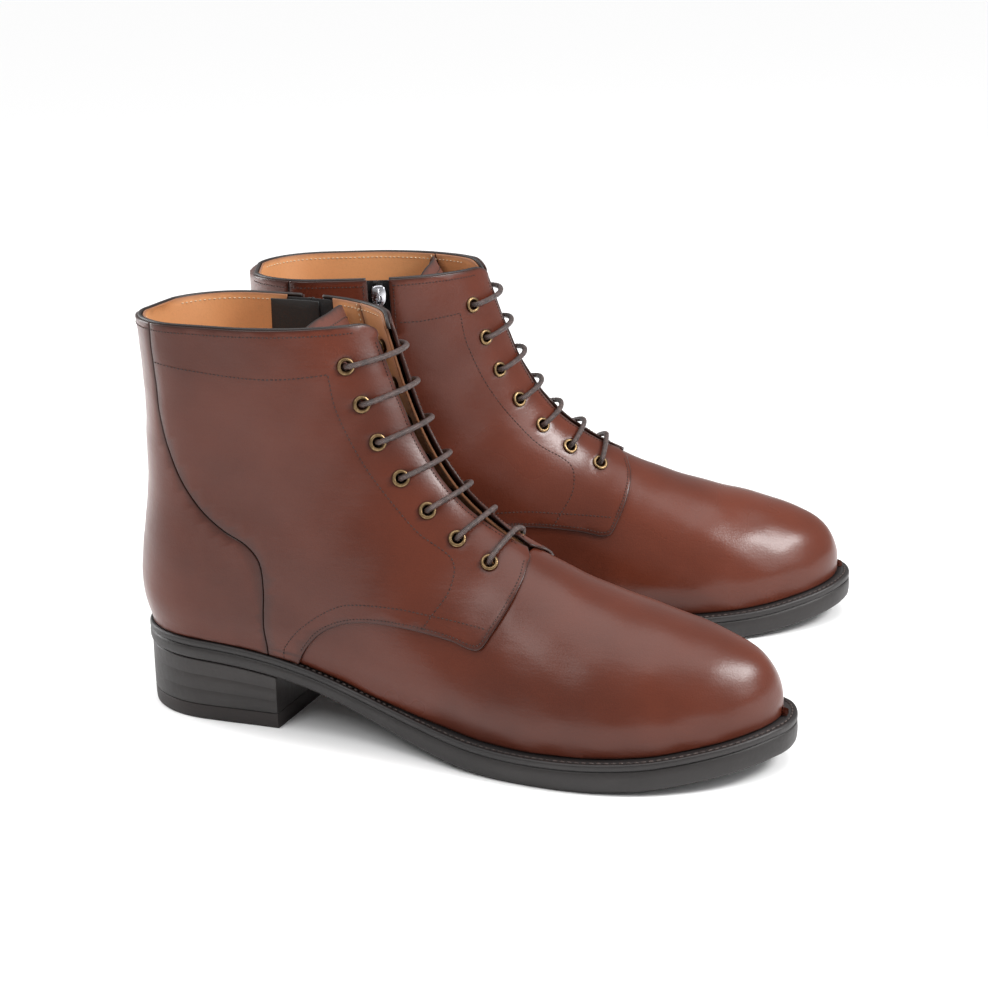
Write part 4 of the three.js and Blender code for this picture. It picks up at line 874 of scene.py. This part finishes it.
def band_outline(a, b, z0, z1, side=1):
    return np.concatenate([run([(zip_x(z0) + a, z0), (zip_x(z1) + a, z1)], side),
                           run([(zip_x(z1) + a + 1, z1), (zip_x(z1) + b - 1, z1)], side),
                           run([(zip_x(z1) + b, z1), (zip_x(z0) + b, z0)], side),
                           run([(zip_x(z0) + b - 1, z0), (zip_x(z0) + a + 1, z0)], side)])


# Zip tapes, teeth and the guard behind them.
for name, a, b in (("zip_front_stringer", 0.15, 12), ("zip_rear_stringer", -12, -0.15)):
    shape = patch(band_outline(a, b, TAPE_LOW, TOP - 1), LINING_IN + 0.2, LINING_OUT, step=2.4, r=0.25,
                  uneven=False)
    piece(name, shape, TAPE)
piece("zip_guard", patch(band_outline(-20, 5, TAPE_LOW, TOP - 2), -2.6, -1.6, step=2.6, r=0.4, uneven=False),
      BLACK)
chain = Shape()
TOOTH_PITCH = 1.35
BOX = [(0, 3, 2, 1), (4, 5, 6, 7), (0, 1, 5, 4), (1, 2, 6, 5), (2, 3, 7, 6), (3, 0, 4, 7)]
for k, z in enumerate(np.arange(ZIP_LOW + 1, TOP - 1, TOOTH_PITCH)):
    sign = 1 if k % 2 else -1
    s, a = locate(zip_x(z), z)
    n = normal(s, a)
    p = position(s, a)
    across = unit(position(*locate(zip_x(z) + 1, z)) - p)
    along = np.cross(n, across)
    core = p + n * (0.35 - INSET)
    for c0, c1, w, h in ((-0.7, 2.2, 0.55, 0.55), (-0.9, -0.1, 0.75, 0.62)):
        corners = np.array([core + sign * across * dx + along * dy * w * taper + n * dz * h
                            for dx, taper in ((c0, 0.7), (c1, 1.0))
                            for dy, dz in ((-1, -1), (1, -1), (1, 0.8), (-1, 0.8))])
        outward = np.dot(np.cross(corners[5] - corners[4], corners[6] - corners[5]),
                corners[4] - corners.mean(axis=0))
        chain.add(corners, [q[::-1] for q in BOX] if outward < 0 else BOX)
piece("zip_teeth", chain, TEETH, sharp=30)

# ---- piping, stitching ---------------------------------------------------------------
lateral_top = np.concatenate([corner_run(-1), top_run(front_top - 5.5, 10, -1)])
medial_rear = top_run(10, ZIP_TOP_X - 5.6, 1)
medial_fore = np.concatenate([top_run(ZIP_TOP_X + 5.6, front_top - 5.5, 1), corner_run(1)[::-1]])
piping = Shape()
for sv in (np.concatenate([lateral_top, medial_rear]), medial_fore):
    p, _ = seam_path(sv, np.full(len(sv), 1.0))
    p = resample(p, 1.2)
    for _ in range(4):
        p[1:-1] = (p[:-2] + 2 * p[1:-1] + p[2:]) / 4
    tube(p + np.array([0, 0, -0.1]), 0.85, 8, piping)
piece("top_line_piping", piping, PIPING)

dark, cream = Shape(), Shape()


def sew_along(shape, sv, offset, pitch, radius, inward=False, share=0.74, lift=0.06):
    p, n = seam_path(sv, np.broadcast_to(offset, len(sv)), inward)
    stitches(p, n, pitch, radius, shape, share, lift)


def sew(points, side, pitch=1.9):
    sew_along(dark, run(points, side, 0.8), QUARTER_OUT, pitch, 0.26)


LOWER_LINE = [(82.4, 34), (83.3, 39.4), (93, 50.6), (107, 60.5), (117, 64.4), (138.3, 65.2), (155.8, 63.4),
              (181, 60.7)]
FACING_LINE = [(108.3, 164.6), (111.5, 148.9), (121, 127.8), (132.4, 111.2), (145.7, 96.6), (160.1, 86.9),
               (162.9, 81.8), (161.8, 72.8), (156.3, 64.1), (151.9, 57.2)]
COLLAR_LINE = [(28.7, 166.4), (45.2, 164.9), (68.6, 163), (89.2, 162.9), (108.3, 164.6)]
for side in (-1, 1):
    sew(LOWER_LINE, side)
    sew(shift(QUARTER_FRONT, 1.7)[1:], side, pitch=1.7)
    sew(FACING_LINE, side)
    throat = throat_run(side, 1.9, 89, TOP - 8, 0.8)
    sew_along(dark, throat, QUARTER_OUT, 1.6, 0.24)
    if side < 0:
        sew(COLLAR_LINE, side)
        rim_spans = ((front_top - 6, 28.6), (27.8, 11))
    else:
        edge_x = float(zip_x(163))
        sew([(108.3, 164.6), (89.2, 162.9), (edge_x + 8.6, 163)], side)
        sew([(edge_x - 8.6, 163), (45.2, 164.9), (28.7, 166.4)], side)
        rim_spans = ((front_top - 6, ZIP_TOP_X + 7), (ZIP_TOP_X - 7, 28.6), (27.8, 11))
        for off in (7.0, -7.0):
            sew([(zip_x(TOP - 2) + off, TOP - 2), (zip_x(ZIP_LOW) + off, ZIP_LOW)], side, pitch=1.7)
    for x0, x1 in rim_spans:
        sew([(x0, TOP - 3), (x1, TOP - 3)], side, pitch=1.7)
piece("upper_stitching", dark, THREAD)


def sew_lining(sv):
    sew_along(cream, sv, LINING_IN, 2.2, 0.3, inward=True, share=0.66, lift=0.08)


for side, x0, x1 in ((-1, front_top - 8, 11), (1, ZIP_TOP_X - 16.5, 11), (1, ZIP_TOP_X + 16.5, front_top - 8)):
    sew_lining(run([(x0, TOP - 2.6), (x1, TOP - 2.6)], side, 0.8))
for side in (-1, 1):
    sew_lining(beside_ridge(RL[8], top_station(24.2, side), 24.2, side, 0.8))
piece("lining_stitching", cream, CREAM)

tongue_thread = Shape()
across = np.linspace(-1, 1, 60)
sv = np.c_[s_top - 6.5 + 2.3 * (1 - across ** 2), across * beside_ridge(s_top - 8, s_top - 6, 27, 1)[0][1]]
sew_along(tongue_thread, sv, tongue_out(sv[:, 0]) + 1.2, 2.0, 0.26)
piece("tongue_stitching", leaning(tongue_thread), THREAD)


# ---- eyelets and lace ----------------------------------------------------------------
def hole_frame(side, at):
    s, a = (float(q) for q in locate(*at))
    v = side * a
    n = normal(s, v)
    return {"side": side, "s": s, "a": a, "foot": position(s, v) - n * INSET, "out": n}


def lathe(profile, origin, axis, segments, shape):
    first = unit(np.cross(axis, (0, 0, 1) if abs(axis[2]) < 0.9 else (1, 0, 0)))
    turn = np.linspace(0, 2 * math.pi, segments, endpoint=False)[:, None]
    ring = first * np.cos(turn) + np.cross(axis, first) * np.sin(turn)
    verts = np.array([origin + axis * h + ring * r for r, h in profile]).reshape(-1, 3)
    shape.add(verts, grid_faces(len(profile), segments, ring=True))


FOOT = FACING_IN - 1.4
seat = QUARTER_OUT + 0.1
PROFILE = [(2.1, FOOT - 0.4), (2.9, FOOT - 0.45), (3.1, FOOT - 0.1), (2.6, FOOT + 0.1), (2.6, seat), (3.75, seat),
           (3.85, seat + 0.25), (3.6, seat + 0.6), (3.1, seat + 0.82), (2.6, seat + 0.75), (2.25, seat + 0.45),
           (2.1, seat)]
for side, name in ((-1, "lateral"), (1, "medial")):
    rings = Shape()
    for at in EYELETS:
        f = hole_frame(side, at)
        lathe(PROFILE, f["foot"], f["out"], 28, rings)
    piece(f"{name}_eyelet_row", rings, BRASS)

LACE_RADIUS = 1.25


def lace_path():
    over = QUARTER_OUT + 0.15 + 0.7 + LACE_RADIUS + 0.35
    under = FACING_IN - 1.4 - 0.5 - LACE_RADIUS - 0.35
    points = []

    def toward(h, target, move, height):
        return h["foot"] + h["out"] * height + square_to(target - h["foot"], h["out"]) * move

    def ridge_spot(h):
        return position(h["s"], h["side"] * 0.01) - normal(h["s"], h["side"] * 0.01) * INSET

    def edge_point(h):
        a = h["a"]
        half = float(throat_half(h["foot"][2])) + 1
        while abs(position(h["s"], h["side"] * a)[1]) > half:
            a -= 0.01
        return on_last(np.array(h["s"]), np.array(h["side"] * a), np.array(over + 0.1))

    def mouth(h, target):
        return [toward(h, target, m, z) for m, z in ((0.2, over - 1.4), (2.1, over))]

    def inner(h, target):
        return [toward(h, target, m, z) for m, z in ((0, -1), (0.5, under + 0.7), (2.2, under))]

    side = -1
    last = len(EYELETS) - 1
    for i, at in enumerate(EYELETS):
        a, b = hole_frame(side, at), hole_frame(-side, at)
        before = hole_frame(side, EYELETS[i - 1] if i > 0 else EYELETS[1])["foot"]
        after = hole_frame(-side, EYELETS[i + 1] if i < last else EYELETS[i - 1])["foot"]
        if i == 0:
            points.append(toward(a, before, 14, under - 0.4))
        points += inner(a, before)[::-1] + mouth(a, ridge_spot(a)) + [edge_point(a)]
        points += [edge_point(b)] + mouth(b, ridge_spot(b))[::-1] + inner(b, after)
        if i == last:
            points.append(toward(b, after, 14, under - 0.4))
        side = -side
    return np.array(points)


def catmull(p, per=10):
    """A smooth run through the points, with per points for each stretch."""
    out = []
    q = np.concatenate([[2 * p[0] - p[1]], p, [2 * p[-1] - p[-2]]])
    for p0, p1, p2, p3 in zip(q, q[1:], q[2:], q[3:]):
        t1, t2, t3 = np.cumsum([np.linalg.norm(step) ** 0.5 for step in (p1 - p0, p2 - p1, p3 - p2)])
        t = np.linspace(t1, t2, per, endpoint=False)[:, None]
        a1 = mix(p0, p1, t / t1)
        a2 = mix(p1, p2, (t - t1) / (t2 - t1))
        a3 = mix(p2, p3, (t - t2) / (t3 - t2))
        out.extend(mix(mix(a1, a2, t / t2), mix(a2, a3, (t - t1) / (t3 - t1)), (t - t1) / (t2 - t1)))
    return np.array(out + [p[-1]])


LACE_SIDES = 16
BRAID_DEPTH, BRAID_TURN = 0.06, 1.25
lace_line = resample(catmull(lace_path()), 0.55)
lace = Shape()
row = np.arange(len(lace_line))[:, None] * BRAID_TURN
turn = 3 * np.linspace(0, 2 * math.pi, LACE_SIDES, endpoint=False)
tube(lace_line, LACE_RADIUS + BRAID_DEPTH * (np.sin(turn + row) + np.sin(turn - row)), LACE_SIDES, lace)
piece("lace", lace, LACE)
print("lace length mm", round(float(np.linalg.norm(np.diff(lace_line, axis=0), axis=1).sum())))

# ---- soles ---------------------------------------------------------------------------
STATIONS = 110


def reach_at(x):
    return mix(2.5, 5.5, smooth((x - 120) / 60))


def welt_top(x):
    return feather(x) - GAP


def welt_bottom(x):
    return welt_top(x) - 3


def sole_top(x):
    return welt_bottom(x) - GAP


def sole_bottom(x):
    return np.maximum(0, sole_top(x) - mix(6, 9.5, smooth((x - 100) / 70)))


def outline_loop(reach):
    """The foot's outline pushed out by reach, as rows of the outer and inner side from heel to toe."""
    i = np.arange(STATIONS + 1)
    x = mix(HEEL_X, LENGTH, (1 - np.cos(math.pi * i / STATIONS)) / 2)
    rows = []
    for side in (-1, 1):
        half = GIRTH * sole_width(side, x) * toe_round(x) * rounding((x - HEEL_X) / 38, 2.3)
        rows.append(np.c_[x, centre_y(x) + side * half])
    loop = np.concatenate([rows[0], rows[1][::-1][1:-1]])
    t = np.roll(loop, -1, axis=0) - np.roll(loop, 1, axis=0)
    t /= np.hypot(t[:, 0], t[:, 1])[:, None]
    out = reach(loop[:, 0])[:, None] if callable(reach) else reach
    return loop + np.c_[t[:, 1], -t[:, 0]] * out


def swept(levels, ring=False, cut=None, value=None):
    """A sole part from loops of (reach, height) given from the top's inner edge round to the bottom's."""
    shape = Shape()
    loops = []
    for reach, height in levels:
        xy = outline_loop(reach)
        loops.append(np.c_[xy, height(xy[:, 0]) if callable(height) else np.full(len(xy), float(height))])
    if cut is not None:
        keep = int(np.searchsorted(loops[0][:STATIONS + 1, 0], cut))
        loops = [trim(loop, cut, keep) for loop in loops]
    n = len(loops[0])
    faces = grid_faces(len(loops), n, ring)
    if not ring:
        if cut is None:
            pairs = [(j, (n - j) % n) for j in range(n // 2 + 1)]
        else:
            pairs = [(j, n - 1 - j) for j in range(n // 2)]
        for start, turn in ((0, 1), ((len(loops) - 1) * n, -1)):
            for (a, b), (c, d) in zip(pairs[:-1], pairs[1:]):
                face = tuple(dict.fromkeys((start + a, start + c, start + d, start + b)))
                if len(face) > 2:
                    faces.append(face[::turn])
    shape.add(np.concatenate(loops), faces, np.repeat(value or [0.0] * len(loops), n))
    return shape


def trim(loop, cut, keep):
    """The heel end of a loop, ending in corners on the plane x = cut."""
    medial = np.concatenate([loop[:1], loop[STATIONS:][::-1][:-1], loop[STATIONS:STATIONS + 1]])
    rows = []
    for row in (loop[:STATIONS + 1], medial):
        y, z = (np.interp(cut, row[:, 0], row[:, k]) for k in (1, 2))
        rows.append(np.concatenate([row[:keep], [[cut, y, z]]]))
    return np.concatenate([rows[0][::-1], rows[1][1:]])[::-1]


def level(height, down):
    return lambda x: height(x) - down


def out_by(extra):
    return lambda x: reach_at(x) + extra


welt = swept([(-8, welt_top), (0.5, welt_top), (out_by(-2.9), level(welt_top, 0)),
              (out_by(-2.6), level(welt_top, 0.25)),
              (out_by(-2.0), level(welt_top, 0.25)), (out_by(-1.7), level(welt_top, 0)),
              (out_by(-0.8), welt_top), (out_by(-0.25), level(welt_top, 0.25)), (out_by(0), level(welt_top, 0.9)),
              (out_by(0), level(welt_top, 2.5)), (out_by(-0.35), level(welt_top, 3)), (-8, welt_bottom)],
             ring=True, value=[1, 1, 0, 1, 1, 0, 0, 0, 0, 0, 1, 1])
piece("welt", welt, WELT)


def part_way(t):
    return lambda x: mix(sole_top(x), sole_bottom(x), t)


outsole = swept([(out_by(-1.0), sole_top), (out_by(-0.4), level(sole_top, 0.15)),
                 (out_by(-0.05), level(sole_top, 0.7)),
                 (out_by(0.12), part_way(0.35)), (out_by(0.05), part_way(0.65)), (out_by(-0.25), part_way(0.86)),
                 (out_by(-0.9), part_way(0.97)), (out_by(-1.8), sole_bottom)])
piece("outsole", outsole, SOLE)
BREAST = 78
heel_reach = 1.7
heel_top = level(sole_bottom, GAP)


def lift(t):
    return lambda x: mix(heel_top(x), 7 + GAP, t)


levels = [(heel_reach - 0.4, heel_top), (heel_reach, level(heel_top, 0.35))]
for t in (1 / 3, 2 / 3):
    levels += [(heel_reach + 0.06, lift(t - 0.025)), (heel_reach - 0.12, lift(t - 0.006)),
               (heel_reach - 0.12, lift(t + 0.006)),
               (heel_reach + 0.06, lift(t + 0.025))]
levels += [(heel_reach, lift(0.97)), (heel_reach - 0.3, 7 + GAP)]
piece("heel_base", swept(levels, cut=BREAST), HEEL, sharp=40)
piece("heel_top_piece", swept([(heel_reach - 0.3, 7), (heel_reach, 6.6), (heel_reach - 0.05, 3),
        (heel_reach - 0.3, 0.7),
                               (heel_reach - 1.0, 0.0)], cut=BREAST), RUBBER,
      sharp=40)
sock_reach = -(INSET - LINING_IN + 2.7)


def above(amount):
    return lambda x: feather(x) + amount


piece("sock_liner", swept([(sock_reach - 0.3, above(3.8)), (sock_reach, above(3.5)), (sock_reach, above(2.8))]),
      TAN)

welt_thread = Shape()
loop = outline_loop(out_by(-2.3))
i0 = int(np.searchsorted(loop[:STATIONS + 1, 0], 84))
span = loop[i0:2 * STATIONS - i0 + 1]
path = np.c_[span, welt_top(span[:, 0]) - 0.1]
stitches(path, np.tile((0.0, 0.0, 1.0), (len(path), 1)), 3.1, 0.42, welt_thread, share=0.78, lift=0.05)
piece("welt_stitching", welt_thread, WELT_THREAD)


# ---- zip slider and pull -------------------------------------------------------------
def zip_frame():
    s, a = (float(q) for q in locate(zip_x(TOP - 8), TOP - 8))
    s2, a2 = (float(q) for q in locate(zip_x(ZIP_LOW + 16), ZIP_LOW + 16))
    top = on_last(np.array(s), np.array(a), np.array(-0.7))
    bottom = on_last(np.array(s2), np.array(a2), np.array(0.0))
    down = unit(bottom - top)
    out = square_to(normal(s, a), down)
    return top, down, out, np.cross(out, down)


zip_top, zip_down, zip_out, zip_across = zip_frame()


def zip_point(p):
    p = np.asarray(p, float)
    return zip_top + p[..., 0:1] * zip_across - p[..., 1:2] * zip_down + p[..., 2:3] * zip_out


def plate(outline, z0, z1, bevel, shape, holes=None):
    """A flat piece with bevelled rims, drawn in the zip's own frame; a hole needs the outline's point count."""
    o = np.array(outline, float)
    centre = o.mean(axis=0)

    def loop(scale, z, ring):
        d = ring - (centre if ring is o else holes.mean(axis=0))
        size = np.linalg.norm(d, axis=1, keepdims=True)
        return np.c_[ring - d / size * scale, np.full(len(ring), z)]
    n = len(o)
    loops = [loop(bevel, z0, o), loop(0, z0 + bevel, o), loop(0, z1 - bevel, o), loop(bevel, z1, o)]
    if holes is not None:
        loops += [loop(-bevel * 0.6, z1, holes), loop(0, z1 - bevel, holes), loop(0, z0 + bevel, holes),
                  loop(-bevel * 0.6, z0, holes)]
    faces = grid_faces(len(loops), n, ring=holes is not None)
    if holes is None:
        faces += [tuple(range(n))[::-1], tuple(range(3 * n, 4 * n))]
    shape.add(zip_point(np.concatenate(loops)), faces)


def oval(cx, cy, rx, ry, n=32, power=2.0):
    t = np.linspace(0, 2 * math.pi, n, endpoint=False)
    c, s = np.cos(t), np.sin(t)
    return np.c_[cx + rx * np.sign(c) * np.abs(c) ** (2 / power), cy + ry * np.sign(s) * np.abs(s) ** (2 / power)]


slider = Shape()
base_z = LINING_OUT + 1.4 + GAP
body = oval(0, 0, 3.6, 5.0, 40, 3.2)
body[:, 0] *= 1 - 0.16 * smooth((-body[:, 1]) / 5)
plate(body, base_z, base_z + 1.7, 0.45, slider)
arch = np.array([(0, 3.4, base_z + 1.2), (0, 3.2, base_z + 2.5), (0, 2.2, base_z + 3.5), (0, 0.6, base_z + 3.9),
                 (0, -1.0, base_z + 3.6), (0, -2.2, base_z + 2.6), (0, -2.6, base_z + 1.2)])
bridge = resample(catmull(arch, 6), 0.4)
tube(zip_point(bridge), 0.62, 10, slider)
piece("zip_slider", slider, STEEL, body="slider", sharp=50)
pin_z = base_z + 1.8 + 1.4
pull = Shape()
tab = oval(0, -7.7, 2.3, 8.9, 48, 3.4)
tab[:, 0] *= 0.78 + 0.22 * smooth((-tab[:, 1] - 1) / 14)
plate(tab, pin_z - 0.5, pin_z + 0.5, 0.28, pull, holes=oval(0, -1.5, 1.15, 2.1, 48, 2.2))
plate(oval(0, -10.6, 1.35, 4.4, 32, 2.6), pin_z + 0.38, pin_z + 0.68, 0.14, pull)
piece("zip_pull", pull, STEEL, body="pull", sharp=50)

for boot in PLACES:
    for entry in pieces:
        put(boot, *entry)
    for node, mat in (("cork_filler", BOARD), ("insole", BOARD), ("shank", STEEL)):
        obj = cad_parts[f"{boot}_{node}"]
        obj.data.materials.clear()
        obj.data.materials.append(mat)


# ---- floor, light and camera ---------------------------------------------------------
floor_paint = bpy.data.materials.new("pale_floor")
floor_paint.use_nodes = True
shader = floor_paint.node_tree.nodes["Principled BSDF"]
shader.inputs["Base Color"].default_value = (0.97, 0.97, 0.97, 1)
shader.inputs["Roughness"].default_value = 0.8
floor_mesh = bpy.data.meshes.new("floor")
floor_mesh.from_pydata([(-6, -6, 0), (6, -6, 0), (6, 6, 0), (-6, 6, 0)], [], [(0, 1, 2, 3)])
floor_mesh.materials.append(floor_paint)
floor = bpy.data.objects.new("floor", floor_mesh)
bpy.context.scene.collection.objects.link(floor)

world = bpy.data.worlds.new("studio")
bpy.context.scene.world = world
world.use_nodes = True
world.node_tree.nodes["Background"].inputs["Color"].default_value = (1, 1, 1, 1)
world.node_tree.nodes["Background"].inputs["Strength"].default_value = 0.42


def softbox(name, at, target, size, power):
    light = bpy.data.lights.new(name, "AREA")
    light.shape = "RECTANGLE"
    light.size, light.size_y = size
    light.energy = power
    obj = bpy.data.objects.new(name, light)
    obj.location = at
    obj.rotation_euler = (Vector(target) - Vector(at)).to_track_quat("-Z", "Y").to_euler()
    bpy.context.scene.collection.objects.link(obj)


softbox("key", (-0.5, -0.9, 1.1), (0, 0, 0.08), (0.5, 0.5), 4)
softbox("toe", (0.85, -0.1, 0.75), (0.12, -0.06, 0.06), (0.3, 0.3), 9)
sun = bpy.data.lights.new("sky_panel", "SUN")
sun.energy = 1.95
sun.angle = math.radians(60)
sun_object = bpy.data.objects.new("sky_panel", sun)
bpy.context.scene.collection.objects.link(sun_object)
softbox("left", (-1.2, 0.35, 0.5), (-0.05, 0, 0.09), (0.4, 0.9), 11)
softbox("right", (1.1, -0.35, 0.6), (0.05, 0, 0.06), (0.5, 0.6), 3.5)

AZ, EL, ROLL = math.radians(11.06), math.radians(16.67), math.radians(-1.18)
DISTANCE = 0.97041
target = Vector((-0.00507, -0.00167, 0.0859))
back = Vector((math.sin(AZ) * math.cos(EL), -math.cos(AZ) * math.cos(EL), math.sin(EL)))
right = Vector((0, 0, 1)).cross(back).normalized()
up = back.cross(right)
right2 = right * math.cos(ROLL) + up * math.sin(ROLL)
up2 = up * math.cos(ROLL) - right * math.sin(ROLL)
lens = bpy.data.cameras.new("camera")
lens.sensor_width = 36
lens.lens = 74.9
bpy.context.scene.view_settings.view_transform = "Standard"
camera = bpy.data.objects.new("camera", lens)
camera.matrix_world = Matrix.Translation(target + back * DISTANCE) @ Matrix(
    (right2, up2, back)).transposed().to_4x4()
bpy.context.scene.collection.objects.link(camera)
bpy.context.scene.camera = camera
